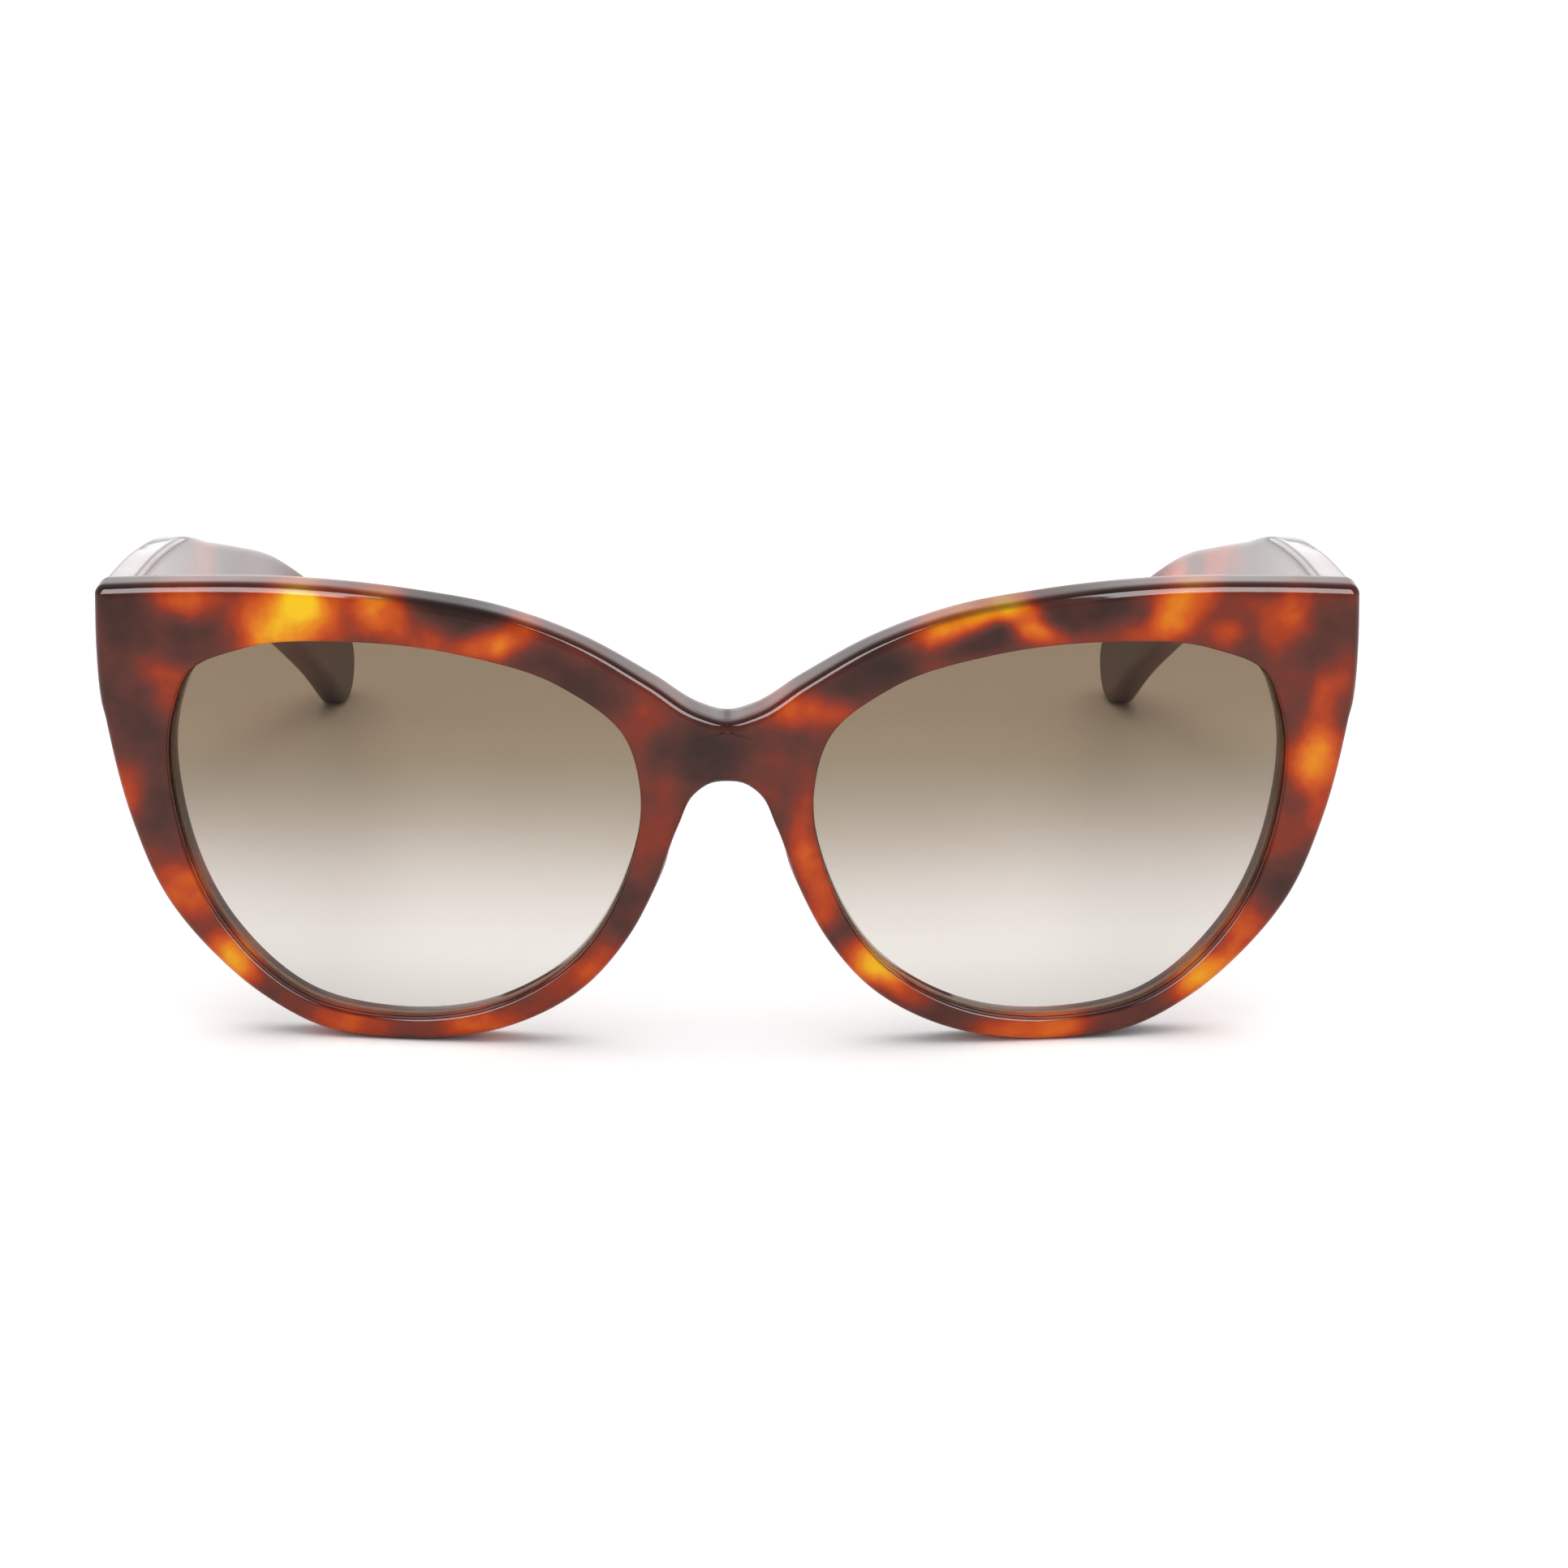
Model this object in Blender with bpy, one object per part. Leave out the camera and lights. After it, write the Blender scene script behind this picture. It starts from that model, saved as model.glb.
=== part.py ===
"""Cat eye sunglasses: an acetate front with two tinted lenses and two temples that fold.

The glasses stand open on a table, on the bottoms of the rims and on the tips of the temples.
World frame: +Z up with z = 0 on the table, the wearer looks along -Y, and +X is the wearer's left.
The origin is the centre of the footprint.  Sizes are in millimetres, and make_object() turns them
into metres.  Every piece is described for the wearer's left and mirrored to the right.

Behind the face means towards +Y.  A "depth" is measured that way, from the outer surface.
"""

import math

import bmesh
import bpy
import numpy as np

MM = 0.001  # metres in a millimetre
SIDES = {"left": 1, "right": -1}

# Overall
FRONT_Y = -72.62  # the face of the front at its middle; half the overall length ahead of the origin
TOUCH_GAP = 0.3  # left between pieces that are glued, pressed or resting on each other
OVERSHOOT = 2.0  # how far a cutter stands out of what it cuts

# Front: a slab of acetate bent to a shallow curve
FACE_RADIUS_ACROSS = 340.0  # curve seen from above
FACE_RADIUS_DOWN = 220.0  # curve seen from the side
FACE_MIDDLE_Z = 27.0  # height where the face is furthest forward
RIM_THICKNESS = 4.6
BRIDGE_EXTRA_THICKNESS = 1.6
BRIDGE_BLEND = 12.0  # distance from the middle over which the extra thickness fades
OUTER_EDGE_RADIUS = 1.0  # rounding of the outer edge on the face
BACK_EDGE_RADIUS = 0.5
EYE_EDGE_RADIUS = 0.45
GROOVE_DEPTH = 0.8
GROOVE_HALF_WIDTH = 0.9
GROOVE_MIDDLE = 1.9  # depth of the groove's middle behind the face

# Half outlines of the front, as (x, z) points that a smooth curve runs through
BROW_LINE = [
    (0.0, 38.3), (3.0, 39.1), (8.2, 42.4), (16.3, 47.0), (24.4, 49.9),
    (35.3, 51.75), (49.5, 52.7), (60.0, 52.4), (68.9, 51.75),
]
BROW_BEYOND = (76.4, 51.0)  # where the brow line would run on to, past the corner
CORNER_CENTRE = (68.9, 50.55)
CORNER_RADIUS = 1.2  # rounding of the upswept corner
CHEEK_BEYOND = (70.1, 55.1)  # where the cheek line would run on to, past the corner
CHEEK_LINE = [
    (70.1, 50.55), (70.15, 45.0), (69.9, 39.6), (69.15, 34.7), (67.0, 25.3), (63.3, 16.0),
    (57.9, 9.1), (52.5, 4.4), (46.0, 0.95), (38.7, -0.1), (31.5, 0.2), (24.75, 1.8),
    (16.4, 6.6), (10.9, 13.3), (8.1, 18.85), (5.4, 26.3), (3.6, 30.0), (1.7, 31.3), (0.0, 31.5),
]
EYE_LINE = [
    (9.6, 30.5), (11.3, 36.6), (18.0, 42.0), (29.6, 45.55), (41.5, 46.6), (53.6, 45.4),
    (59.8, 42.4), (61.9, 37.2), (61.75, 26.0), (56.7, 13.0), (47.5, 4.55), (38.0, 2.6),
    (27.0, 4.05), (17.2, 10.2), (11.6, 19.4),
]
EYE_CENTRE = (36.0, 26.0)
BROW_POINTS = 24
CORNER_POINTS = 3
CHEEK_POINTS = 38
MIDDLE_POINTS = 3  # on the plane of symmetry, inside the bridge
BACK_ROWS = (0.25, 0.5, 0.75)  # extra rows across the back, which carry the shape of the end piece

# End piece: a thicker block behind the upswept corner, flat at the back, that holds the hinge
END_BACK = 13.6  # its flat back, behind the middle of the face
END_X = (61.5, 63.5)  # where it rises out of the rim, going outwards
END_BOTTOM_Z = (36.5, 38.5)
END_TOP_Z = (50.8, 48.8)

# Joint between the end piece and the temple: a flat upright mitre
MITRE_X = 70.3
MITRE_BACK = 11.4  # where the mitre meets the outer face, behind the middle of the face
MITRE_SLOPE = 0.8  # how far back it runs for each millimetre inwards

# Lenses
LENS_THICKNESS = 1.8
LENS_BEVEL = 0.55  # how far the V of the edge stands out into the groove
LENS_EDGE_GAP = 0.12
LENS_RINGS = (0.45, 0.8)  # rings between the middle and the edge, as shares of the way out

# Temples: a slab cut to a profile, and bent inwards on its way back
TEMPLE_X = 70.3  # outer face at the joint
TEMPLE_THICKNESS = 4.5
TEMPLE_TIP_THICKNESS = 3.8
TEMPLE_EDGE_RADIUS = 1.2
BEND_START = 20.0  # straight back to here, then a curve inwards
BEND_END = 80.0  # from here straight again
BEND_SLOPE = 0.13  # how steeply the rear part runs inwards
TEMPLE_LINE = [  # middle line of the profile: (depth behind the face, z, height across the line)
    (2.0, 44.6, 14.8), (20.0, 43.9, 13.2), (35.0, 43.1, 12.0), (50.0, 41.5, 10.8),
    (65.0, 37.4, 10.2), (80.0, 33.2, 9.8), (95.0, 28.5, 9.8), (107.0, 23.5, 10.2),
    (119.3, 17.6, 10.8), (130.5, 11.4, 10.8), (140.0, 5.1, 10.4),
]
TEMPLE_STATIONS = 22
TIP_STATIONS = 4  # more stations, round the end of the tip
TIP_TURN = 72.0  # degrees that the rounding of the tip covers before its flat end
CORNER_STEPS = 2  # steps round each long edge

# Core wire in each temple, in a channel that opens at the mitre
WIRE_START = 17.0
WIRE_END = 129.0
WIRE_HEIGHT = 2.0
WIRE_THICKNESS = 1.0
WIRE_GAP = 0.25
CHANNEL_START = 6.0

# Hinges: knuckles of the front and of the temple in turn, on an upright screw
HINGE_X = 64.0
HINGE_BACK = 15.9
HINGE_Z = 44.6
KNUCKLES = 5
KNUCKLE_HEIGHT = 1.4
KNUCKLE_GAP = 0.15
KNUCKLE_RADIUS = 1.5
KNUCKLE_SIDES = 20
WEB_HALF_WIDTH = 0.7
LEAF_THICKNESS = 0.85
LEAF_HEIGHT = 7.4
FRONT_LEAF_X = (62.9, 66.6)
TEMPLE_LEAF_BACK = (17.6, 26.8)
TEMPLE_WEB_REACH = (2.2, 3.6)  # from the screw to the middle of the temple's leaf: outwards, back
SCREW_RADIUS = 0.70
SCREW_CLEARANCE = 0.05
SCREW_HEAD_RADIUS = 1.25
SCREW_HEAD_HEIGHT = 0.7
SCREW_HEAD_LIFT = 0.1
SCREW_HEAD_RIM = 0.6  # the share of the head's height where its chamfer starts
SCREW_HEAD_TOP = 0.8  # the radius of its flat top, as a share of the head's
SCREW_SLOT = (0.4, 0.3)  # width and depth

# Nose pads: rounded blocks of acetate glued to the backs of the rims
PAD_CENTRE = (9.4, 18.6)  # (x, z)
PAD_RADII = (1.7, 4.4, 6.6)  # across, front to back, along
PAD_LEAN = 24.0  # degrees that its length leans out from upright
PAD_FACE_TURN = 50.0  # degrees that its bearing face turns from straight back towards the nose
PAD_FACE_OFFSET = 2.2  # from its middle to its bearing face
PAD_BOTTOM_OFFSET = 0.35  # from the rim's back to the pad's flat front
PAD_SLOPE_SPAN = 2.0  # how far each way the slope of the rim's back is taken under the pad


# ---------------------------------------------------------------- curves and meshes


def smooth_curve(points, before, after, steps=16):
    """Dense points of a smooth curve through the points; before and after are neighbours off its ends."""
    path = np.array([before, *points, after], float)
    gaps = np.linalg.norm(np.diff(path, axis=0), axis=1)
    speeds = np.diff(path, axis=0) / gaps[:, None]
    weights = (gaps[1:] / (gaps[:-1] + gaps[1:]))[:, None]
    tangents = speeds[:-1] * weights + speeds[1:] * (1 - weights)
    curve = []
    for i in range(len(points) - 1):
        start, end, gap = path[i + 1], path[i + 2], gaps[i + 1]
        for t in np.linspace(0, 1, steps, endpoint=False):
            curve.append(
                start * (1 + 2 * t) * (1 - t) ** 2 + end * t * t * (3 - 2 * t)
                + gap * (tangents[i] * t * (1 - t) ** 2 - tangents[i + 1] * t * t * (1 - t))
            )
    curve.append(path[-2])
    return np.array(curve)


def resample(curve, count):
    """That many points, evenly spaced along a dense curve, with both of its ends."""
    along = np.concatenate([[0], np.cumsum(np.linalg.norm(np.diff(curve, axis=0), axis=1))])
    where = np.linspace(0, along[-1], count)
    return np.column_stack([np.interp(where, along, column) for column in curve.T])


def smooth_step(value, start, end):
    """0 at start, 1 at end, and a smooth change between."""
    share = np.clip((value - start) / (end - start), 0, 1)
    return share * share * (3 - 2 * share)


def material(name, colour, roughness, metallic=0.0, alpha=1.0):
    made = bpy.data.materials.new(name)
    made.use_nodes = True
    shader = made.node_tree.nodes["Principled BSDF"]
    shader.inputs["Base Color"].default_value = (*colour, 1.0)
    shader.inputs["Roughness"].default_value = roughness
    shader.inputs["Metallic"].default_value = metallic
    shader.inputs["Alpha"].default_value = alpha
    made.diffuse_color = (*colour, alpha)
    return made


def make_object(name, mesh, look, side=1, pivot=(0.0, 0.0, 0.0)):
    """Turn a bmesh in millimetres into a named object in metres, mirrored for the right side.

    The face of the front is at y = 0 in the bmesh, and pivot is where the object's own origin goes.
    """
    if side < 0:
        bmesh.ops.scale(mesh, vec=(-1, 1, 1), verts=mesh.verts)
        bmesh.ops.reverse_faces(mesh, faces=mesh.faces)
        pivot = (-pivot[0], pivot[1], pivot[2])
    bmesh.ops.translate(mesh, vec=[-c for c in pivot], verts=mesh.verts)
    bmesh.ops.scale(mesh, vec=(MM, MM, MM), verts=mesh.verts)
    data = bpy.data.meshes.new(name)
    mesh.to_mesh(data)
    mesh.free()
    data.shade_smooth()
    data.set_sharp_from_angle(angle=math.radians(35))
    made = bpy.data.objects.new(name, data)
    made.location = (pivot[0] * MM, (pivot[1] + FRONT_Y) * MM, pivot[2] * MM)
    bpy.context.collection.objects.link(made)
    if look:
        data.materials.append(look)
    return made


def cut_with(target, cutter, operation="DIFFERENCE"):
    """Cut or join the target with a hidden helper object."""
    cutter.hide_render = True
    cutter.display_type = "WIRE"
    step = target.modifiers.new(cutter.name, "BOOLEAN")
    step.operation = operation
    step.solver = "EXACT"
    step.object = cutter


def box_mesh(low, high):
    mesh = bmesh.new()
    bmesh.ops.create_cube(mesh, size=1.0)
    bmesh.ops.scale(mesh, vec=[b - a for a, b in zip(low, high)], verts=mesh.verts)
    bmesh.ops.translate(mesh, vec=[(a + b) / 2 for a, b in zip(low, high)], verts=mesh.verts)
    return mesh


def skin_mesh(rings, capped=False):
    """A mesh of quads between rings of matching points, with a face on each end ring if capped."""
    mesh = bmesh.new()
    rows = [[mesh.verts.new(point) for point in ring] for ring in rings]
    for row, following in zip(rows, rows[1:]):
        for i in range(len(row)):
            j = (i + 1) % len(row)
            mesh.faces.new((row[i], row[j], following[j], following[i]))
    if capped:
        mesh.faces.new(reversed(rows[0]))
        mesh.faces.new(rows[-1])
    bmesh.ops.recalc_face_normals(mesh, faces=mesh.faces)
    return mesh


def trim(mesh, point, normal):
    """Cut the mesh with a plane, drop what is on the normal's side, and close the cut with a face."""
    parts = [*mesh.verts, *mesh.edges, *mesh.faces]
    cut = bmesh.ops.bisect_plane(
        mesh, geom=parts, dist=1e-5, plane_co=point, plane_no=normal, clear_outer=True
    )
    edges = [e for e in cut["geom_cut"] if isinstance(e, bmesh.types.BMEdge) and e.is_boundary]
    bmesh.ops.holes_fill(mesh, edges=edges, sides=0)
    bmesh.ops.recalc_face_normals(mesh, faces=mesh.faces)


# ---------------------------------------------------------------- the face and the outlines


def end_piece_share(x, z):
    """1 on the end piece, 0 on the rest of the front."""
    across = smooth_step(x, *END_X)
    return across * smooth_step(z, *END_BOTTOM_Z) * smooth_step(z, *END_TOP_Z)


def side_share(x, z):
    """1 where the outer side runs straight back to meet the temple, 0 on the rest of the front."""
    return smooth_step(x, *END_X) * smooth_step(z, *END_BOTTOM_Z)


def thickness(x, z):
    return RIM_THICKNESS + BRIDGE_EXTRA_THICKNESS * math.exp(-((x / BRIDGE_BLEND) ** 2))


def face_point(x, z, depth):
    """The place that far behind the face at (x, z); seen from above it is square to the face."""
    lean = x / FACE_RADIUS_ACROSS * (1 - side_share(x, z))
    surface = x * x / (2 * FACE_RADIUS_ACROSS) + (z - FACE_MIDDLE_Z) ** 2 / (2 * FACE_RADIUS_DOWN)
    return (x - lean * depth, surface + depth, z)


def back_point(x, z, forward=0.0):
    """A place on the back of the front, or that far forward of it."""
    rim_back = face_point(x, z, thickness(x, z) - forward)
    share = end_piece_share(x, z)
    y = rim_back[1] * (1 - share) + (END_BACK - forward) * share
    return (rim_back[0], y, z)


def mitre_plane(gap=0.0):
    """A point on the mitre, or on a plane that far behind it, and its normal towards the temple."""
    normal = np.array([MITRE_SLOPE, 1.0, 0.0]) / math.hypot(MITRE_SLOPE, 1.0)
    return np.array([MITRE_X, MITRE_BACK, 0.0]) + gap * normal, normal


def inward_normals(loop):
    """Unit normals on the right-hand side of a closed loop of (x, z) points."""
    tangents = np.roll(loop, -1, axis=0) - np.roll(loop, 1, axis=0)
    normals = np.column_stack([tangents[:, 1], -tangents[:, 0]])
    return normals / np.linalg.norm(normals, axis=1)[:, None]


def outer_loop():
    """Half the front's outline, clockwise from the top of the bridge, and its inward normals.

    It ends with points on the plane of symmetry, whose normals are zero.
    """
    brow_mirror = (-BROW_LINE[1][0], BROW_LINE[1][1])
    brow = resample(smooth_curve(BROW_LINE, brow_mirror, BROW_BEYOND), BROW_POINTS)
    angles = np.linspace(math.pi / 2, 0, CORNER_POINTS + 2)[1:-1]
    directions = np.column_stack([np.cos(angles), np.sin(angles)])
    corner = np.array(CORNER_CENTRE) + CORNER_RADIUS * directions
    cheek_mirror = (-CHEEK_LINE[-2][0], CHEEK_LINE[-2][1])
    cheek = resample(smooth_curve(CHEEK_LINE, CHEEK_BEYOND, cheek_mirror), CHEEK_POINTS)
    heights = np.linspace(CHEEK_LINE[-1][1], BROW_LINE[0][1], MIDDLE_POINTS + 2)[1:-1]
    middle = np.column_stack([np.zeros(MIDDLE_POINTS), heights])
    loop = np.concatenate([brow, corner, cheek, middle])
    normals = inward_normals(loop)
    normals[-MIDDLE_POINTS:] = 0
    normals[0] = (0, -1)
    normals[-MIDDLE_POINTS - 1] = (0, 1)
    return loop, normals


def eye_loop(outer):
    """The eye opening, at the same angles round its centre as the outline, and its normals outwards."""
    dense = smooth_curve([*EYE_LINE, EYE_LINE[0]], EYE_LINE[-1], EYE_LINE[1]) - EYE_CENTRE
    dense_angles = np.arctan2(dense[:, 1], dense[:, 0])
    order = np.argsort(dense_angles)
    reach = np.linalg.norm(dense, axis=1)
    spokes = outer - EYE_CENTRE
    angles = np.arctan2(spokes[:, 1], spokes[:, 0])
    radii = np.interp(angles, dense_angles[order], reach[order], period=2 * math.pi)
    loop = EYE_CENTRE + radii[:, None] * np.column_stack([np.cos(angles), np.sin(angles)])
    return loop, -inward_normals(loop)


# ---------------------------------------------------------------- pieces


def front_half_mesh():
    """The left half of the front, open on the plane of symmetry."""
    outer, outer_normals = outer_loop()
    eye, eye_normals = eye_loop(outer)

    def row(loop, normals, inset, place):
        return [place(x, z) for x, z in loop + normals * inset]

    def at_depth(depth):
        return lambda x, z: face_point(x, z, depth)

    def at_back(forward):
        return lambda x, z: back_point(x, z, forward)

    lip = 1 - math.sqrt(0.5)
    rows = [
        row(eye, eye_normals, GROOVE_DEPTH, at_depth(GROOVE_MIDDLE)),
        row(eye, eye_normals, 0, at_depth(GROOVE_MIDDLE - GROOVE_HALF_WIDTH)),
        row(eye, eye_normals, 0, at_depth(EYE_EDGE_RADIUS)),
        row(eye, eye_normals, EYE_EDGE_RADIUS, at_depth(0)),
        row(outer, outer_normals, OUTER_EDGE_RADIUS, at_depth(0)),
        row(outer, outer_normals, OUTER_EDGE_RADIUS * lip, at_depth(OUTER_EDGE_RADIUS * lip)),
        row(outer, outer_normals, 0, at_depth(OUTER_EDGE_RADIUS)),
        row(outer, outer_normals, 0, at_back(BACK_EDGE_RADIUS)),
        row(outer, outer_normals, BACK_EDGE_RADIUS, at_back(0)),
    ]
    wall_rows = range(4, 8)  # the rows of quads that make the outer wall
    for share in BACK_ROWS:
        between = outer * (1 - share) + eye * share
        rows.append([back_point(x, z) for x, z in between])
    rows.append(row(eye, eye_normals, EYE_EDGE_RADIUS, at_back(0)))
    rows.append(row(eye, eye_normals, 0, at_back(EYE_EDGE_RADIUS)))
    rows.append(row(eye, eye_normals, 0, at_depth(GROOVE_MIDDLE + GROOVE_HALF_WIDTH)))

    mesh = bmesh.new()
    grid = [[mesh.verts.new(point) for point in points] for points in rows]
    count = len(outer)
    middle = set(range(count - MIDDLE_POINTS - 1, count)) | {0}
    for i, (these, following) in enumerate(zip(grid, grid[1:] + grid[:1])):
        for j in range(count):
            k = (j + 1) % count
            if i in wall_rows and j in middle and k in middle:
                continue
            mesh.faces.new((these[j], these[k], following[k], following[j]))
    bmesh.ops.delete(mesh, geom=[v for v in mesh.verts if not v.link_faces], context="VERTS")
    bmesh.ops.recalc_face_normals(mesh, faces=mesh.faces)
    return mesh


def make_front(look):
    half = front_half_mesh()
    trim(half, *mitre_plane())
    trim(half, (0, 0, 0), (0, 0, -1))
    front = make_object("front_frame", half, look)
    mirror = front.modifiers.new("other_half", "MIRROR")
    mirror.use_clip = True
    mirror.merge_threshold = 0.00001
    for name, side in SIDES.items():
        low_z = HINGE_Z - LEAF_HEIGHT / 2 - TOUCH_GAP
        high_z = HINGE_Z + LEAF_HEIGHT / 2 + TOUCH_GAP
        low = (FRONT_LEAF_X[0] - TOUCH_GAP, END_BACK - LEAF_THICKNESS - TOUCH_GAP, low_z)
        high = (FRONT_LEAF_X[1] + TOUCH_GAP, END_BACK + OVERSHOOT, high_z)
        cut_with(front, make_object(f"front_pocket_cutter_{name}", box_mesh(low, high), None, side))
    return front


def make_lens(name, look, side):
    eye, normals = eye_loop(outer_loop()[0])
    edge = eye - normals * LENS_EDGE_GAP
    bevel = eye + normals * (LENS_BEVEL - LENS_EDGE_GAP)
    face = GROOVE_MIDDLE - LENS_THICKNESS / 2
    back = GROOVE_MIDDLE + LENS_THICKNESS / 2
    sheet = [EYE_CENTRE + (edge - EYE_CENTRE) * share for share in LENS_RINGS]
    loops = [(loop, face) for loop in sheet] + [(edge, face), (bevel, GROOVE_MIDDLE), (edge, back)]
    loops += [(loop, back) for loop in reversed(sheet)]
    mesh = bmesh.new()
    rows = [[mesh.verts.new(face_point(x, z, depth)) for x, z in loop] for loop, depth in loops]
    centres = [mesh.verts.new(face_point(*EYE_CENTRE, depth)) for depth in (face, back)]
    for i in range(len(edge)):
        j = (i + 1) % len(edge)
        for these, following in zip(rows, rows[1:]):
            mesh.faces.new((these[i], these[j], following[j], following[i]))
        mesh.faces.new((centres[0], rows[0][j], rows[0][i]))
        mesh.faces.new((centres[1], rows[-1][i], rows[-1][j]))
    bmesh.ops.recalc_face_normals(mesh, faces=mesh.faces)
    return make_object(name, mesh, look, side)


def temple_x(back, inset):
    """x of a point on the temple, that far behind the face and that far inside the outer face."""
    curve = np.clip(back, BEND_START, BEND_END) - BEND_START
    bend = BEND_SLOPE * (curve**2 / (2 * (BEND_END - BEND_START)) + max(back - BEND_END, 0))
    return TEMPLE_X - bend - inset


def temple_line():
    """Dense middle line of the temple's profile, as (back, z, height)."""
    before = tuple(2 * a - b for a, b in zip(TEMPLE_LINE[0], TEMPLE_LINE[1]))
    after = tuple(2 * a - b for a, b in zip(TEMPLE_LINE[-1], TEMPLE_LINE[-2]))
    return smooth_curve(TEMPLE_LINE, before, after)


def profile_frames(line):
    """Each point of the middle line with the unit vector across it, upwards."""
    along = np.gradient(line[:, :2], axis=0)
    along /= np.linalg.norm(along, axis=1)[:, None]
    return [(point, np.array([-t[1], t[0]])) for point, t in zip(line, along)]


def temple_thickness(back):
    share = smooth_step(back, BEND_START, TEMPLE_LINE[-1][0])
    return TEMPLE_THICKNESS * (1 - share) + TEMPLE_TIP_THICKNESS * share


def rounded_section(height, thick, radius):
    """Points round a rectangle with rounded corners, as (up, inset from the outer face)."""
    points = []
    corners = [(1, 1, 0), (-1, 1, 90), (-1, -1, 180), (1, -1, 270)]
    for up_sign, in_sign, start in corners:
        for angle in np.radians(np.linspace(start, start + 90, CORNER_STEPS + 1)):
            up = up_sign * (height / 2 - radius) + radius * math.cos(angle)
            inset = thick / 2 + in_sign * (thick / 2 - radius) + radius * math.sin(angle)
            points.append((up, inset))
    return points


def make_temple(name, look, side, pivot):
    line = resample(temple_line(), TEMPLE_STATIONS)
    frames = profile_frames(line)
    end, across = frames[-1]
    onward = np.array([across[1], -across[0]])
    tip_radius = end[2] / 2
    for angle in np.linspace(0, math.radians(TIP_TURN), TIP_STATIONS + 1)[1:]:
        centre = end[:2] + onward * tip_radius * math.sin(angle)
        frames.append((np.array([*centre, 2 * tip_radius * math.cos(angle)]), across))
    rings = []
    for (back, z, height), across in frames:
        thick = temple_thickness(back)
        ring = []
        for up, inset in rounded_section(height, thick, min(TEMPLE_EDGE_RADIUS, height / 3)):
            y = back + across[0] * up
            ring.append((temple_x(y, inset), y, z + across[1] * up))
        rings.append(ring)
    mesh = skin_mesh(rings, capped=True)
    point, normal = mitre_plane(TOUCH_GAP)
    trim(mesh, point, -normal)
    trim(mesh, (0, 0, 0), (0, 0, -1))
    temple = make_object(name, mesh, look, side, pivot)
    channel_size = (WIRE_HEIGHT + 2 * WIRE_GAP, WIRE_THICKNESS + 2 * WIRE_GAP)
    channel = wire_mesh(CHANNEL_START, WIRE_END + 2 * WIRE_GAP, *channel_size)
    cut_with(temple, make_object(f"{name}_channel_cutter", channel, None, side, pivot))
    inner = TEMPLE_X - TEMPLE_THICKNESS
    half_height = LEAF_HEIGHT / 2 + TOUCH_GAP
    low = (inner - OVERSHOOT, TEMPLE_LEAF_BACK[0] - TOUCH_GAP, HINGE_Z - half_height)
    high = (
        inner + LEAF_THICKNESS + TOUCH_GAP, TEMPLE_LEAF_BACK[1] + TOUCH_GAP, HINGE_Z + half_height,
    )
    cut_with(temple, make_object(f"{name}_pocket_cutter", box_mesh(low, high), None, side, pivot))
    return temple


def wire_mesh(start, end, height, thick):
    """A flat bar along the temple's middle line, in the middle of its thickness."""
    dense = temple_line()
    part = dense[(dense[:, 0] >= start) & (dense[:, 0] <= end)]
    rings = []
    for (back, z, _), across in profile_frames(resample(part, TEMPLE_STATIONS)):
        middle = temple_thickness(back) / 2
        ring = []
        for up_sign, in_sign in ((1, 1), (-1, 1), (-1, -1), (1, -1)):
            y = back + across[0] * up_sign * height / 2
            x = temple_x(y, middle + in_sign * thick / 2)
            ring.append((x, y, z + across[1] * up_sign * height / 2))
        rings.append(ring)
    return skin_mesh(rings, capped=True)


def knuckle_mesh(indices, web):
    """Knuckles round the hinge's screw, each with a web that runs out to (x, back) = web."""
    mesh = bmesh.new()
    total = KNUCKLES * KNUCKLE_HEIGHT + (KNUCKLES - 1) * KNUCKLE_GAP
    reach = np.array(web)
    length = np.linalg.norm(reach)
    direction = reach / length
    sideways = np.array([-direction[1], direction[0]])
    start = math.atan2(direction[1], direction[0])
    hole = SCREW_RADIUS + SCREW_CLEARANCE
    profile = []
    for i in range(KNUCKLE_SIDES):
        angle = start + 2 * math.pi * (i + 0.5) / KNUCKLE_SIDES
        spoke = np.array([math.cos(angle), math.sin(angle)])
        rim = spoke * KNUCKLE_RADIUS
        if i in (0, KNUCKLE_SIDES - 1):
            edge = WEB_HALF_WIDTH if i == 0 else -WEB_HALF_WIDTH
            rim = direction * length + sideways * edge
        elif i in (1, KNUCKLE_SIDES - 2):
            edge = WEB_HALF_WIDTH if i == 1 else -WEB_HALF_WIDTH
            run = math.sqrt(KNUCKLE_RADIUS**2 - WEB_HALF_WIDTH**2)
            rim = direction * run + sideways * edge
        profile.append((rim, spoke * hole))
    for index in indices:
        low = HINGE_Z - total / 2 + index * (KNUCKLE_HEIGHT + KNUCKLE_GAP)
        rings = []
        for which, z in ((0, low), (0, low + KNUCKLE_HEIGHT), (1, low + KNUCKLE_HEIGHT), (1, low)):
            rings.append([
                mesh.verts.new((HINGE_X + pair[which][0], HINGE_BACK + pair[which][1], z))
                for pair in profile
            ])
        for these, following in zip(rings, rings[1:] + rings[:1]):
            for i in range(KNUCKLE_SIDES):
                j = (i + 1) % KNUCKLE_SIDES
                mesh.faces.new((these[i], these[j], following[j], following[i]))
    bmesh.ops.recalc_face_normals(mesh, faces=mesh.faces)
    return mesh


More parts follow.
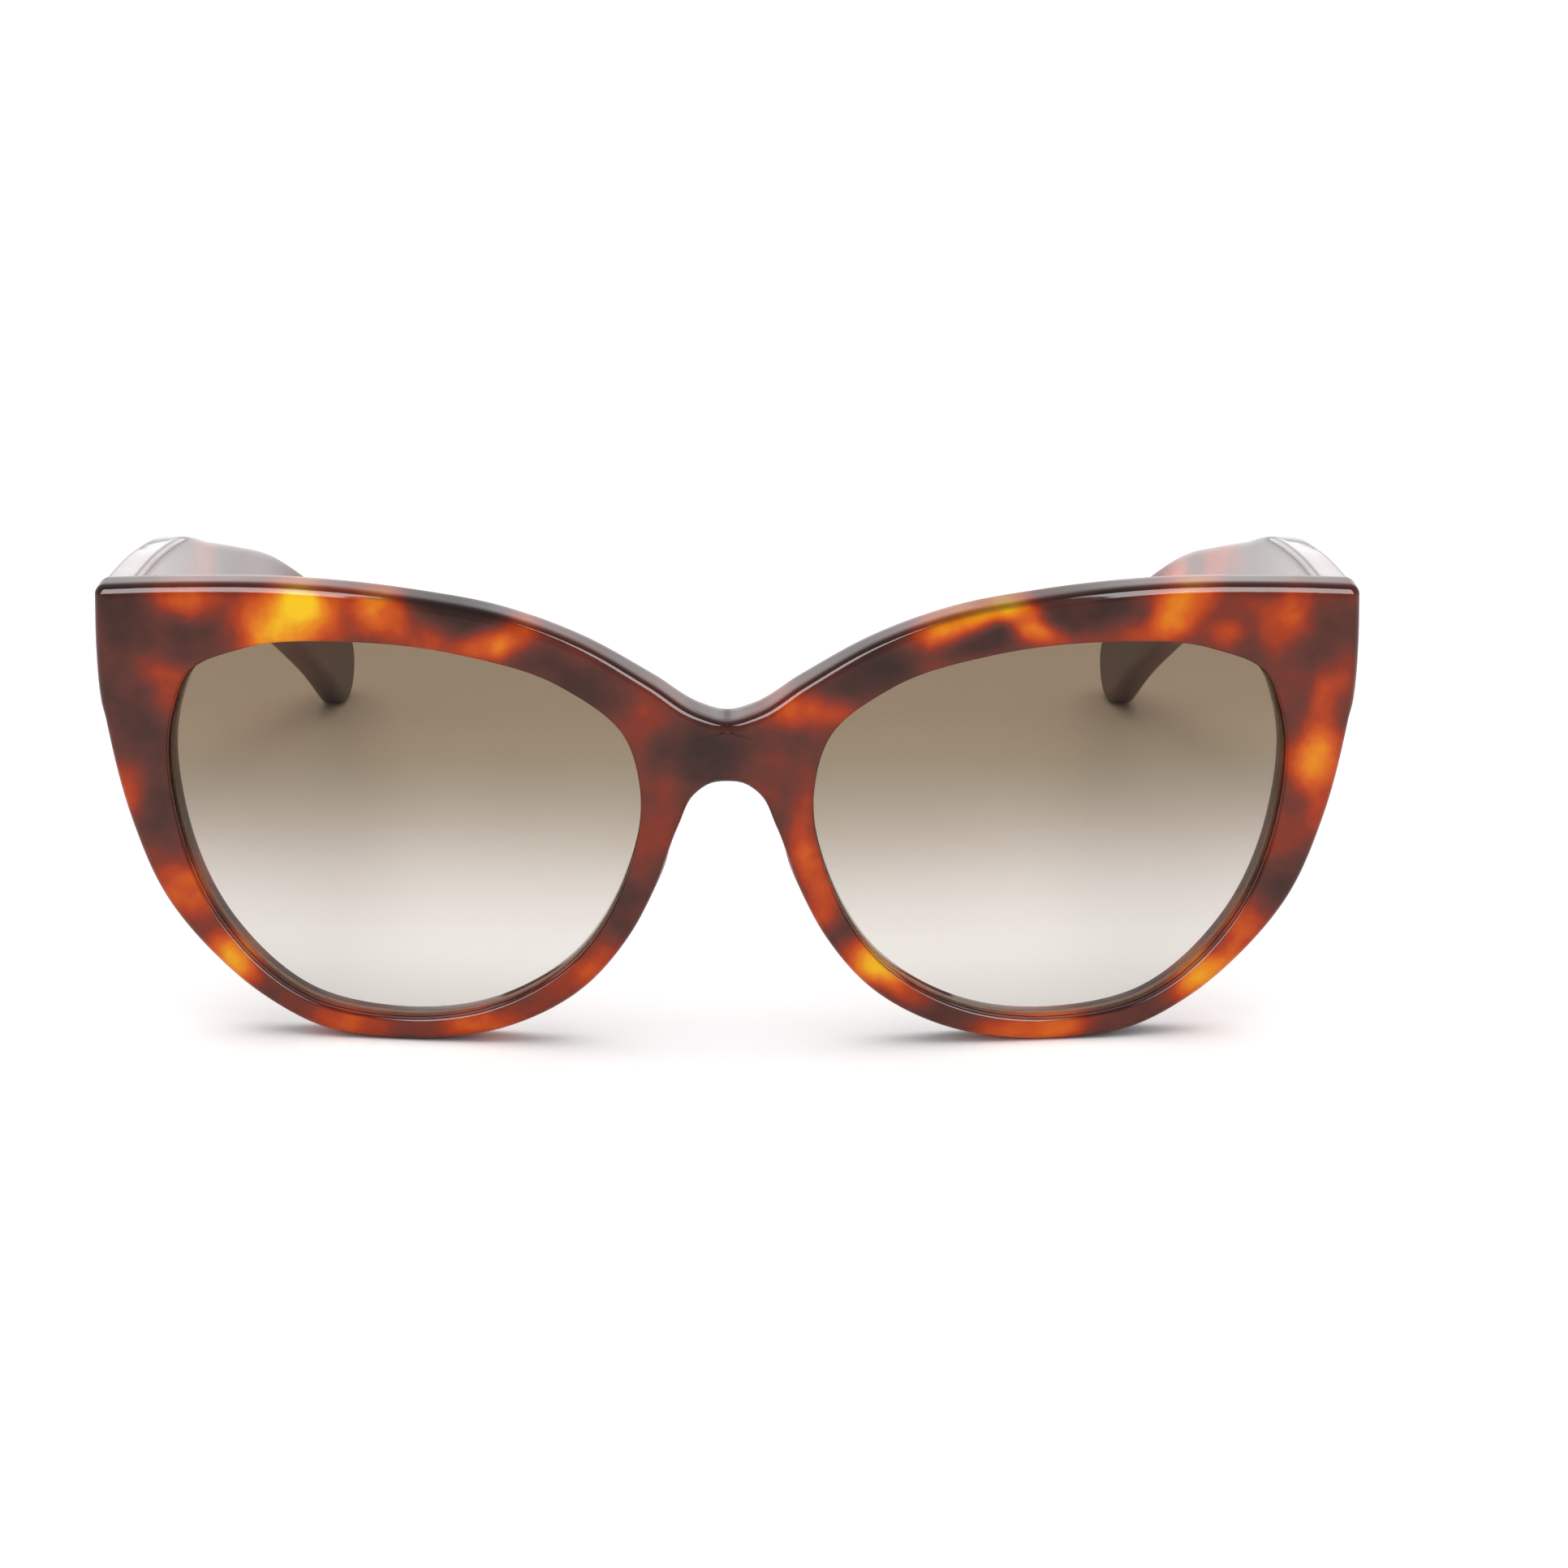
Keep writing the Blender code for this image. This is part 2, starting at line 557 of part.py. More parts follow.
def make_front_leaf(name, look, side, pivot):
    low = (FRONT_LEAF_X[0], END_BACK - LEAF_THICKNESS, HINGE_Z - LEAF_HEIGHT / 2)
    high = (FRONT_LEAF_X[1], END_BACK, HINGE_Z + LEAF_HEIGHT / 2)
    leaf = make_object(name, box_mesh(low, high), look, side, pivot)
    web = (0.0, END_BACK - LEAF_THICKNESS / 2 - HINGE_BACK)
    knuckles = knuckle_mesh(range(0, KNUCKLES, 2), web)
    cut_with(leaf, make_object(f"{name}_knuckles", knuckles, None, side, pivot), "UNION")
    return leaf


def make_temple_leaf(name, look, side, pivot):
    inner = TEMPLE_X - TEMPLE_THICKNESS
    low = (inner, TEMPLE_LEAF_BACK[0], HINGE_Z - LEAF_HEIGHT / 2)
    high = (inner + LEAF_THICKNESS, TEMPLE_LEAF_BACK[1], HINGE_Z + LEAF_HEIGHT / 2)
    leaf = make_object(name, box_mesh(low, high), look, side, pivot)
    knuckles = knuckle_mesh(range(1, KNUCKLES, 2), TEMPLE_WEB_REACH)
    cut_with(leaf, make_object(f"{name}_knuckles", knuckles, None, side, pivot), "UNION")
    return leaf


def make_screw(name, look, side, pivot):
    total = KNUCKLES * KNUCKLE_HEIGHT + (KNUCKLES - 1) * KNUCKLE_GAP
    bottom = HINGE_Z - total / 2
    seat = HINGE_Z + total / 2 + SCREW_HEAD_LIFT
    profile = [
        (SCREW_RADIUS, bottom), (SCREW_RADIUS, seat), (SCREW_HEAD_RADIUS, seat),
        (SCREW_HEAD_RADIUS, seat + SCREW_HEAD_HEIGHT * SCREW_HEAD_RIM),
        (SCREW_HEAD_RADIUS * SCREW_HEAD_TOP, seat + SCREW_HEAD_HEIGHT),
    ]
    angles = 2 * np.pi * (np.arange(KNUCKLE_SIDES) + 0.5) / KNUCKLE_SIDES
    rings = [
        [(HINGE_X + r * math.cos(a), HINGE_BACK + r * math.sin(a), z) for a in angles]
        for r, z in profile
    ]
    screw = make_object(name, skin_mesh(rings, capped=True), look, side, pivot)
    width, depth = SCREW_SLOT
    top = seat + SCREW_HEAD_HEIGHT
    low = (HINGE_X - width / 2, HINGE_BACK - 2 * SCREW_HEAD_RADIUS, top - depth)
    high = (HINGE_X + width / 2, HINGE_BACK + 2 * SCREW_HEAD_RADIUS, top + depth)
    cut_with(screw, make_object(f"{name}_slot_cutter", box_mesh(low, high), None, side, pivot))
    return screw


def make_nose_pad(name, look, side):
    """An egg of acetate, flat where it is glued to the rim and flat where it bears on the nose."""
    mesh = bmesh.new()
    bmesh.ops.create_uvsphere(mesh, u_segments=16, v_segments=12, radius=1.0)
    bmesh.ops.scale(mesh, vec=PAD_RADII, verts=mesh.verts)
    lean = math.radians(PAD_LEAN)
    turn = math.radians(PAD_FACE_TURN)
    up = np.array([math.sin(lean), 0.0, -math.cos(lean)])
    toward_nose = np.array([-math.cos(lean), 0.0, -math.sin(lean)])
    straight_back = np.array([0.0, 1.0, 0.0])
    x, z = PAD_CENTRE
    _, y, _ = back_point(x, z)
    for vert in mesh.verts:
        across, back, along = vert.co
        place = np.array([x, y, z]) - toward_nose * across + straight_back * back - up * along
        vert.co = place
    bmesh.ops.recalc_face_normals(mesh, faces=mesh.faces)
    span = PAD_SLOPE_SPAN
    across = np.subtract(back_point(x + span, z), back_point(x - span, z))
    upwards = np.subtract(back_point(x, z + span), back_point(x, z - span))
    trim(mesh, (x, y + PAD_BOTTOM_OFFSET, z), np.cross(across, upwards))
    bearing = toward_nose * math.sin(turn) + straight_back * math.cos(turn)
    trim(mesh, np.array([x, y, z]) + bearing * PAD_FACE_OFFSET, bearing)
    return make_object(name, mesh, look, side)


def hinge_pivot(name, side):
    """An empty on the hinge's axis, which carries everything that swings with the temple."""
    empty = bpy.data.objects.new(name, None)
    empty.location = (side * HINGE_X * MM, (HINGE_BACK + FRONT_Y) * MM, HINGE_Z * MM)
    bpy.context.collection.objects.link(empty)
    return empty


def main():
    for old in list(bpy.data.objects):
        bpy.data.objects.remove(old, do_unlink=True)
    tortoise = material("tortoise_acetate", (0.16, 0.05, 0.025), 0.12)
    tint = material("brown_gradient_lens", (0.42, 0.33, 0.24), 0.03, alpha=0.5)
    steel = material("hinge_steel", (0.62, 0.60, 0.57), 0.3, metallic=1.0)
    wire_steel = material("core_wire_steel", (0.7, 0.66, 0.55), 0.4, metallic=1.0)
    pad_acetate = material("pad_acetate", (0.14, 0.05, 0.03), 0.18)

    make_front(tortoise)
    axis = (HINGE_X, HINGE_BACK, HINGE_Z)
    for name, side in SIDES.items():
        make_lens(f"lens_{name}", tint, side)
        make_nose_pad(f"nose_pad_{name}", pad_acetate, side)
        make_front_leaf(f"front_hinge_leaf_{name}", steel, side, axis)
        make_screw(f"hinge_screw_{name}", steel, side, axis)
        pivot = hinge_pivot(f"hinge_axis_{name}", side)
        swinging = [
            make_temple(f"temple_{name}", tortoise, side, axis),
            make_temple_leaf(f"temple_hinge_leaf_{name}", steel, side, axis),
        ]
        wire = wire_mesh(WIRE_START, WIRE_END, WIRE_HEIGHT, WIRE_THICKNESS)
        swinging.append(make_object(f"core_wire_{name}", wire, wire_steel, side, axis))
        for piece in swinging:
            piece.parent = pivot
            piece.location = (0.0, 0.0, 0.0)


main()
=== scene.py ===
import math

import bmesh
import bpy
import numpy as np
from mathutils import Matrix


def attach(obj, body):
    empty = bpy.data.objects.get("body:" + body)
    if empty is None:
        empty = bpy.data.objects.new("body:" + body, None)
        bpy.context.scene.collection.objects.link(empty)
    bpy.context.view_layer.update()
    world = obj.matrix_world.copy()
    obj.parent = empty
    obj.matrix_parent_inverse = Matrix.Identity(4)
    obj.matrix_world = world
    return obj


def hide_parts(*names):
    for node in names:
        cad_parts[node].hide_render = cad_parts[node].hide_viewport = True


# Looks of the cat eye sunglasses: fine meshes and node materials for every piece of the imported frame.
#
# Sizes are in millimetres in the frame's own axes, with depths counted back from the face of the front;
# make_piece() turns them into metres.  Everything is described for the wearer's left (+X) and mirrored
# to the right.

MM = 0.001
MERGE_DISTANCE = 2e-6  # metres
SIDES = {"left": 1, "right": -1}
FRONT_Y = -72.62  # where those depths start

# Front
FACE_RADIUS_ACROSS = 340.0
FACE_RADIUS_DOWN = 220.0
FACE_MIDDLE_Z = 27.0
RIM_THICKNESS = 4.6
BRIDGE_EXTRA_THICKNESS = 1.6
BRIDGE_BLEND = 12.0
OUTER_EDGE_RADIUS = 1.0
BACK_EDGE_RADIUS = 0.5
EYE_EDGE_RADIUS = 0.45
GROOVE_DEPTH = 0.8
GROOVE_HALF_WIDTH = 0.9
GROOVE_MIDDLE = 1.9
BROW_LINE = [
    (0.0, 38.3), (3.0, 39.1), (8.2, 42.4), (16.3, 47.0), (24.4, 49.9),
    (35.3, 51.75), (49.5, 52.7), (60.0, 52.4), (68.9, 51.75),
]
BROW_BEYOND = (76.4, 51.0)
CORNER_CENTRE = (68.9, 50.55)
CORNER_RADIUS = 1.2
CHEEK_BEYOND = (70.1, 55.1)
CHEEK_LINE = [
    (70.1, 50.55), (70.15, 45.0), (69.9, 39.6), (69.15, 34.7), (67.0, 25.3), (63.3, 16.0),
    (57.9, 9.1), (52.5, 4.4), (46.0, 0.95), (38.7, -0.1), (31.5, 0.2), (24.75, 1.8),
    (16.4, 6.6), (10.9, 13.3), (8.1, 18.85), (5.4, 26.3), (3.6, 30.0), (1.7, 31.3), (0.0, 31.5),
]
EYE_LINE = [
    (9.6, 30.5), (11.3, 36.6), (18.0, 42.0), (29.6, 45.55), (41.5, 46.6), (53.6, 45.4),
    (59.8, 42.4), (61.9, 37.2), (61.75, 26.0), (56.7, 13.0), (47.5, 4.55), (38.0, 2.6),
    (27.0, 4.05), (17.2, 10.2), (11.6, 19.4),
]
EYE_CENTRE = (36.0, 26.0)
EYE_AVERAGING = 20  # angles are averaged over this part of the loop, each way
BROW_POINTS = 130
CORNER_POINTS = 12
CHEEK_POINTS = 210
MIDDLE_POINTS = 8  # on the plane of symmetry, inside the bridge
FACE_ROWS = 12  # across the face, between the eye opening and the outer edge
WALL_ROWS = 3
BACK_ROWS = 14
EDGE_STEPS = 6  # round each rounded edge
CURVE_STEPS = 48  # between two given points of a smooth curve

# End piece and the mitre that it shares with the temple
END_BACK = 13.6
END_X = (61.5, 63.5)
END_BOTTOM_Z = (36.5, 38.5)
END_TOP_Z = (50.8, 48.8)
MITRE_X = 70.3
MITRE_BACK = 11.4
MITRE_SLOPE = 0.8
MITRE_GAP = 0.12  # the temple's end stands this far off the front
POCKET_GAP = 0.06  # round a hinge leaf let into the acetate

# Lenses
LENS_THICKNESS = 1.8
LENS_BEVEL = 0.55
LENS_EDGE_GAP = 0.06
LENS_RINGS = 16

# Temples
TEMPLE_X = 70.3
TEMPLE_THICKNESS = 4.5
TEMPLE_TIP_THICKNESS = 3.8
TEMPLE_EDGE_RADIUS = 1.2
BEND_START = 20.0
BEND_END = 80.0
BEND_SLOPE = 0.13
TEMPLE_LINE = [  # (depth behind the face, z, height across the line)
    (2.0, 44.6, 14.8), (20.0, 43.9, 13.2), (35.0, 43.1, 12.0), (50.0, 41.5, 10.8),
    (65.0, 37.4, 10.2), (80.0, 33.2, 9.8), (95.0, 28.5, 9.8), (107.0, 23.5, 10.2),
    (119.3, 17.6, 10.8), (130.5, 11.4, 10.8), (140.0, 5.1, 10.4),
]
TEMPLE_STATIONS = 150
TIP_POINTS = 36  # round the half circle of the tip
TEMPLE_ROWS = 7  # from the middle line to the edge, on each face

# Hinges
HINGE_X = 64.0  # the screw's axis
HINGE_BACK = 15.9
HINGE_Z = 44.6
KNUCKLES = 5
KNUCKLE_HEIGHT = 1.4
KNUCKLE_GAP = 0.15
HINGE_HEIGHT = KNUCKLES * KNUCKLE_HEIGHT + (KNUCKLES - 1) * KNUCKLE_GAP
KNUCKLE_RADIUS = 1.5
KNUCKLE_CHAMFER = 0.12
WEB_HALF_WIDTH = 0.7
WEB_SPREAD = 0.6  # how far its corners turn round the hole, as a share of its own half angle
LEAF_THICKNESS = 0.85
LEAF_HEIGHT = 7.4
LEAF_EDGE_RADIUS = 0.16
FRONT_LEAF_X = (62.9, 66.6)
TEMPLE_LEAF_BACK = (17.6, 26.8)
TEMPLE_WEB_REACH = (2.2, 3.6)
RIVET_RADIUS = 0.42
RIVET_RISE = 0.14
RIVET_SIDES = 24
RIVET_RIM = 0.3  # the share of its height where its dome starts
RIVET_DOME = 0.75  # the share of its radius that the dome takes up
RIVET_TOP = 0.2  # the share of its radius that is flat on top
FRONT_RIVET_X = 65.85
FRONT_RIVET_HEIGHTS = (-2.3, 2.3)  # from the middle of the leaf
TEMPLE_RIVETS = [(22.4, 2.0), (22.4, -2.0), (25.4, 0.0)]  # (depth, height from the middle)
SCREW_RADIUS = 0.70
SCREW_CLEARANCE = 0.05
SCREW_HEAD_RADIUS = 1.25
SCREW_HEAD_HEIGHT = 0.7
SCREW_HEAD_LIFT = 0.1
SCREW_HEAD_RIM = 0.6
SCREW_HEAD_DOME = 0.45
SCREW_HEAD_CHAMFER = 0.1
SCREW_POINT = (0.56, 0.15)  # radius and height of its chamfered end
SCREW_SLOT = (0.4, 0.3)  # width and depth
TURNED_SIDES = 48

# Nose pads
PAD_CENTRE = (9.4, 18.6)
PAD_RADII = (1.7, 4.4, 6.6)
PAD_LEAN = 24.0
PAD_FACE_TURN = 50.0
PAD_FACE_OFFSET = 2.2
PAD_BOTTOM_OFFSET = 0.1
PAD_SOFTENING = 0.7
PAD_SLOPE_SPAN = 2.0  # each way from the pad's middle, for the slope of the rim's back

# Set, in metres
CAMERA_PLACE = (0.0, -0.50182, 0.1668)
CAMERA_TILT = 72.5  # degrees up from straight down
CAMERA_LENS = 93.913
CAMERA_SHIFT = 0.03623
FLOOR_RADIUS = 12.0
FLOOR_DROP = 0.0001
OVERHEAD_HEIGHT = 1.7
OVERHEAD_SIZE = (2.2, 2.0)
OVERHEAD_POWER = 30.0
SOFTBOX_PLACE = (0.35, -0.395, 0.575)
SOFTBOX_SIZE = (0.4, 0.85)
SOFTBOX_POWER = 17.0


# ---- curves and meshes ----


def smooth_curve(points, before, after):
    """Dense points of a curve through the points; before and after are neighbours off its ends."""
    path = np.array([before, *points, after], float)
    gaps = np.linalg.norm(np.diff(path, axis=0), axis=1)
    speeds = np.diff(path, axis=0) / gaps[:, None]
    weights = (gaps[1:] / (gaps[:-1] + gaps[1:]))[:, None]
    tangents = speeds[:-1] * weights + speeds[1:] * (1 - weights)
    curve = []
    for i in range(len(points) - 1):
        start, end, gap = path[i + 1], path[i + 2], gaps[i + 1]
        for t in np.linspace(0, 1, CURVE_STEPS, endpoint=False):
            curve.append(
                start * (1 + 2 * t) * (1 - t) ** 2 + end * t * t * (3 - 2 * t)
                + gap * (tangents[i] * t * (1 - t) ** 2 - tangents[i + 1] * t * t * (1 - t))
            )
    curve.append(path[-2])
    return np.array(curve)


def resample(curve, count):
    """That many points, evenly spaced along a dense curve, with both of its ends."""
    along = np.concatenate([[0], np.cumsum(np.linalg.norm(np.diff(curve, axis=0), axis=1))])
    where = np.linspace(0, along[-1], count)
    return np.column_stack([np.interp(where, along, column) for column in curve.T])


def smooth_step(value, start, end):
    share = np.clip((value - start) / (end - start), 0, 1)
    return share * share * (3 - 2 * share)


def rounding(radius):
    """(inset, depth) pairs round a quarter circle, from the side wall to the flat face."""
    angles = np.linspace(0, math.pi / 2, EDGE_STEPS + 1)
    return [(radius * (1 - math.cos(a)), radius * (1 - math.sin(a))) for a in angles]


def make_piece(name, mesh, side=1):
    """Turn a bmesh in millimetres, with the face of the front at y = 0, into an object in metres."""
    if side < 0:
        bmesh.ops.scale(mesh, vec=(-1, 1, 1), verts=mesh.verts)
        bmesh.ops.reverse_faces(mesh, faces=mesh.faces)
    bmesh.ops.translate(mesh, vec=(0, FRONT_Y, 0), verts=mesh.verts)
    bmesh.ops.scale(mesh, vec=(MM, MM, MM), verts=mesh.verts)
    data = bpy.data.meshes.new(name)
    mesh.to_mesh(data)
    mesh.free()
    made = bpy.data.objects.new(name, data)
    bpy.context.collection.objects.link(made)
    return made


def apply_modifiers(piece):
    evaluated = piece.evaluated_get(bpy.context.evaluated_depsgraph_get())
    data = bpy.data.meshes.new_from_object(evaluated)
    piece.modifiers.clear()
    old = piece.data
    piece.data = data
    bpy.data.meshes.remove(old)


def combine(piece, others, operation):
    """Cut the piece with the other objects, or join them to it, all at once, and remove them.

    The others have to stand clear of each other.
    """
    together = bmesh.new()
    for other in others:
        together.from_mesh(other.data)
        bpy.data.objects.remove(other, do_unlink=True)
    data = bpy.data.meshes.new("together")
    together.to_mesh(data)
    together.free()
    tool = bpy.data.objects.new("together", data)
    bpy.context.collection.objects.link(tool)
    step = piece.modifiers.new("combine", "BOOLEAN")
    step.operation = operation
    step.solver = "EXACT"
    step.object = tool
    apply_modifiers(piece)
    bpy.data.objects.remove(tool, do_unlink=True)
    clean_faces(piece)


def clean_faces(piece):
    """Split faces with many corners, merge points that meet, and drop faces that lie back to back."""
    mesh = bmesh.new()
    mesh.from_mesh(piece.data)
    bmesh.ops.triangulate(mesh, faces=[face for face in mesh.faces if len(face.verts) > 4])
    bmesh.ops.remove_doubles(mesh, verts=mesh.verts, dist=MERGE_DISTANCE)
    alike = {}
    for face in mesh.faces:
        alike.setdefault(frozenset(face.verts), []).append(face)
    doubled = [face for faces in alike.values() if len(faces) > 1 for face in faces]
    bmesh.ops.delete(mesh, geom=doubled, context="FACES")
    mesh.to_mesh(piece.data)
    mesh.free()


def shade(piece, angle=35):
    piece.data.shade_smooth()
    piece.data.set_sharp_from_angle(angle=math.radians(angle))


def soften(piece, width, segments=3):
    """Round the piece's sharp edges, and keep its flat faces flat."""
    step = piece.modifiers.new("soften", "BEVEL")
    step.width = width * MM
    step.segments = segments
    step.limit_method = "ANGLE"
    step.angle_limit = math.radians(40)
    apply_modifiers(piece)


def box_mesh(low, high):
    mesh = bmesh.new()
    bmesh.ops.create_cube(mesh, size=1.0)
    bmesh.ops.scale(mesh, vec=[b - a for a, b in zip(low, high)], verts=mesh.verts)
    bmesh.ops.translate(mesh, vec=[(a + b) / 2 for a, b in zip(low, high)], verts=mesh.verts)
    return mesh


def trim(mesh, point, normal):
    """Cut the mesh with a plane, drop what is on the normal's side, and close the cut with a face."""
    parts = [*mesh.verts, *mesh.edges, *mesh.faces]
    cut = bmesh.ops.bisect_plane(
        mesh, geom=parts, dist=1e-5, plane_co=point, plane_no=normal, clear_outer=True
    )
    edges = [e for e in cut["geom_cut"] if isinstance(e, bmesh.types.BMEdge) and e.is_boundary]
    bmesh.ops.holes_fill(mesh, edges=edges, sides=0)
    bmesh.ops.recalc_face_normals(mesh, faces=mesh.faces)


def grid_mesh(rows, closed, skipped=lambda row, point: False):
    """Quads between rows of matching points.

    Where closed, each row's ends are joined, and so are the last row and the first.
    """
    mesh = bmesh.new()
    grid = [[mesh.verts.new(point) for point in points] for points in rows]
    count = len(rows[0])
    following_rows = grid[1:] + grid[:1] if closed else grid[1:]
    for i, (these, following) in enumerate(zip(grid, following_rows)):
        for j in range(count if closed else count - 1):
            k = (j + 1) % count
            if not skipped(i, j):
                mesh.faces.new((these[j], these[k], following[k], following[j]))
    bmesh.ops.delete(mesh, geom=[v for v in mesh.verts if not v.link_faces], context="VERTS")
    return mesh


# ---- the front ----


def end_piece_share(x, z):
    across = smooth_step(x, *END_X)
    return across * smooth_step(z, *END_BOTTOM_Z) * smooth_step(z, *END_TOP_Z)


def side_share(x, z):
    return smooth_step(x, *END_X) * smooth_step(z, *END_BOTTOM_Z)


def thickness(x):
    return RIM_THICKNESS + BRIDGE_EXTRA_THICKNESS * math.exp(-((x / BRIDGE_BLEND) ** 2))


def face_point(x, z, depth):
    """The place that far behind the face at (x, z); seen from above it is square to the face."""
    lean = x / FACE_RADIUS_ACROSS * (1 - side_share(x, z))
    surface = x * x / (2 * FACE_RADIUS_ACROSS) + (z - FACE_MIDDLE_Z) ** 2 / (2 * FACE_RADIUS_DOWN)
    return np.array((x - lean * depth, surface + depth, z))


def back_point(x, z, forward=0.0):
    """The place on the back of the front at (x, z), or that far forward of it."""
    place = face_point(x, z, thickness(x) - forward)
    share = end_piece_share(x, z)
    place[1] = place[1] * (1 - share) + (END_BACK - forward) * share
    return place


def mitre_plane(gap=0.0):
    normal = np.array([MITRE_SLOPE, 1.0, 0.0]) / math.hypot(MITRE_SLOPE, 1.0)
    return np.array([MITRE_X, MITRE_BACK, 0.0]) + gap * normal, normal


def inward_normals(loop):
    tangents = np.roll(loop, -1, axis=0) - np.roll(loop, 1, axis=0)
    normals = np.column_stack([tangents[:, 1], -tangents[:, 0]])
    return normals / np.linalg.norm(normals, axis=1)[:, None]


def outer_loop():
    """Half the front's outline, clockwise from the top of the bridge, and its inward normals."""
    brow_mirror = (-BROW_LINE[1][0], BROW_LINE[1][1])
    brow = resample(smooth_curve(BROW_LINE, brow_mirror, BROW_BEYOND), BROW_POINTS)
    angles = np.linspace(math.pi / 2, 0, CORNER_POINTS + 2)[1:-1]
    directions = np.column_stack([np.cos(angles), np.sin(angles)])
    corner = np.array(CORNER_CENTRE) + CORNER_RADIUS * directions
    cheek_mirror = (-CHEEK_LINE[-2][0], CHEEK_LINE[-2][1])
    cheek = resample(smooth_curve(CHEEK_LINE, CHEEK_BEYOND, cheek_mirror), CHEEK_POINTS)
    heights = np.linspace(CHEEK_LINE[-1][1], BROW_LINE[0][1], MIDDLE_POINTS + 2)[1:-1]
    middle = np.column_stack([np.zeros(MIDDLE_POINTS), heights])
    loop = np.concatenate([brow, corner, cheek, middle])
    normals = inward_normals(loop)
    normals[-MIDDLE_POINTS:] = 0
    normals[0] = (0, -1)
    normals[-MIDDLE_POINTS - 1] = (0, 1)
    return loop, normals


def eye_loop(outer):
    """The eye opening, at nearly the outline's angles round its centre, and its outward normals.

    The angles are averaged along the outline, so that they never turn back beside the bridge.
    """
    dense = smooth_curve([*EYE_LINE, EYE_LINE[0]], EYE_LINE[-1], EYE_LINE[1]) - EYE_CENTRE
    dense_angles = np.arctan2(dense[:, 1], dense[:, 0])
    order = np.argsort(dense_angles)
    reach = np.linalg.norm(dense, axis=1)
    spokes = outer - EYE_CENTRE
    angles = np.unwrap(np.arctan2(spokes[:, 1], spokes[:, 0]))
    span = len(angles) // EYE_AVERAGING
    full_turn = 2 * math.pi
    wrapped = np.concatenate([angles[-span:] + full_turn, angles, angles[:span] - full_turn])
    window = np.ones(2 * span + 1) / (2 * span + 1)
    angles = np.convolve(wrapped, window, mode="valid")
    radii = np.interp(angles, dense_angles[order], reach[order], period=full_turn)
    loop = EYE_CENTRE + radii[:, None] * np.column_stack([np.cos(angles), np.sin(angles)])
    return loop, -inward_normals(loop)


def front_half_mesh():
    """The left half of the front, open on the plane of symmetry."""
    outer, outer_normals = outer_loop()
    eye, eye_normals = eye_loop(outer)

    def at_depth(loop, normals, inset, depth):
        return [face_point(x, z, depth) for x, z in loop + normals * inset]

    def at_back(loop, normals, inset, forward):
        return [back_point(x, z, forward) for x, z in loop + normals * inset]

    rows = [at_depth(eye, eye_normals, GROOVE_DEPTH, GROOVE_MIDDLE)]
    rows.append(at_depth(eye, eye_normals, 0, GROOVE_MIDDLE - GROOVE_HALF_WIDTH))
    rows += [at_depth(eye, eye_normals, *step) for step in rounding(EYE_EDGE_RADIUS)]
    eye_rim = eye + eye_normals * EYE_EDGE_RADIUS
    outer_rim = outer + outer_normals * OUTER_EDGE_RADIUS
    for share in np.linspace(0, 1, FACE_ROWS + 2)[1:-1]:
        between = eye_rim * (1 - share) + outer_rim * share
        rows.append([face_point(x, z, 0) for x, z in between])
    wall_start = len(rows)
    rows += [at_depth(outer, outer_normals, *step) for step in reversed(rounding(OUTER_EDGE_RADIUS))]
    wall_front = np.array(rows[-1])
    wall_back = np.array(at_back(outer, outer_normals, 0, BACK_EDGE_RADIUS))
    for share in np.linspace(0, 1, WALL_ROWS + 2)[1:-1]:
        rows.append(wall_front * (1 - share) + wall_back * share)
    rows += [at_back(outer, outer_normals, *step) for step in rounding(BACK_EDGE_RADIUS)]
    wall_end = len(rows) - 1
    back_rim = outer + outer_normals * BACK_EDGE_RADIUS
    for share in np.linspace(0, 1, BACK_ROWS + 2)[1:-1]:
        between = back_rim * (1 - share) + eye_rim * share
        rows.append([back_point(x, z) for x, z in between])
    rows += [at_back(eye, eye_normals, *step) for step in reversed(rounding(EYE_EDGE_RADIUS))]
    rows.append(at_depth(eye, eye_normals, 0, GROOVE_MIDDLE + GROOVE_HALF_WIDTH))

    count = len(outer)
    middle = set(range(count - MIDDLE_POINTS - 1, count)) | {0}

    def on_symmetry_plane(row, point):
        return wall_start <= row < wall_end and {point, (point + 1) % count} <= middle

    return grid_mesh(rows, True, on_symmetry_plane)


def make_front():
    half = front_half_mesh()
    bmesh.ops.recalc_face_normals(half, faces=half.faces)
    trim(half, *mitre_plane())
    trim(half, (0, 0, 0), (0, 0, -1))
    front = make_piece("front_acetate", half)
    mirror = front.modifiers.new("other_half", "MIRROR")
    mirror.use_clip = True
    mirror.merge_threshold = 0.00001
    apply_modifiers(front)
    cutters = []
    for name, side in SIDES.items():
        half_height = LEAF_HEIGHT / 2 + POCKET_GAP
        low = (FRONT_LEAF_X[0] - POCKET_GAP, END_BACK - LEAF_THICKNESS - POCKET_GAP)
        high = (FRONT_LEAF_X[1] + POCKET_GAP, END_BACK + LEAF_THICKNESS)
        pocket = box_mesh((*low, HINGE_Z - half_height), (*high, HINGE_Z + half_height))
        cutters.append(make_piece(f"front_pocket_{name}", pocket, side))
    combine(front, cutters, "DIFFERENCE")
    shade(front)
    return front


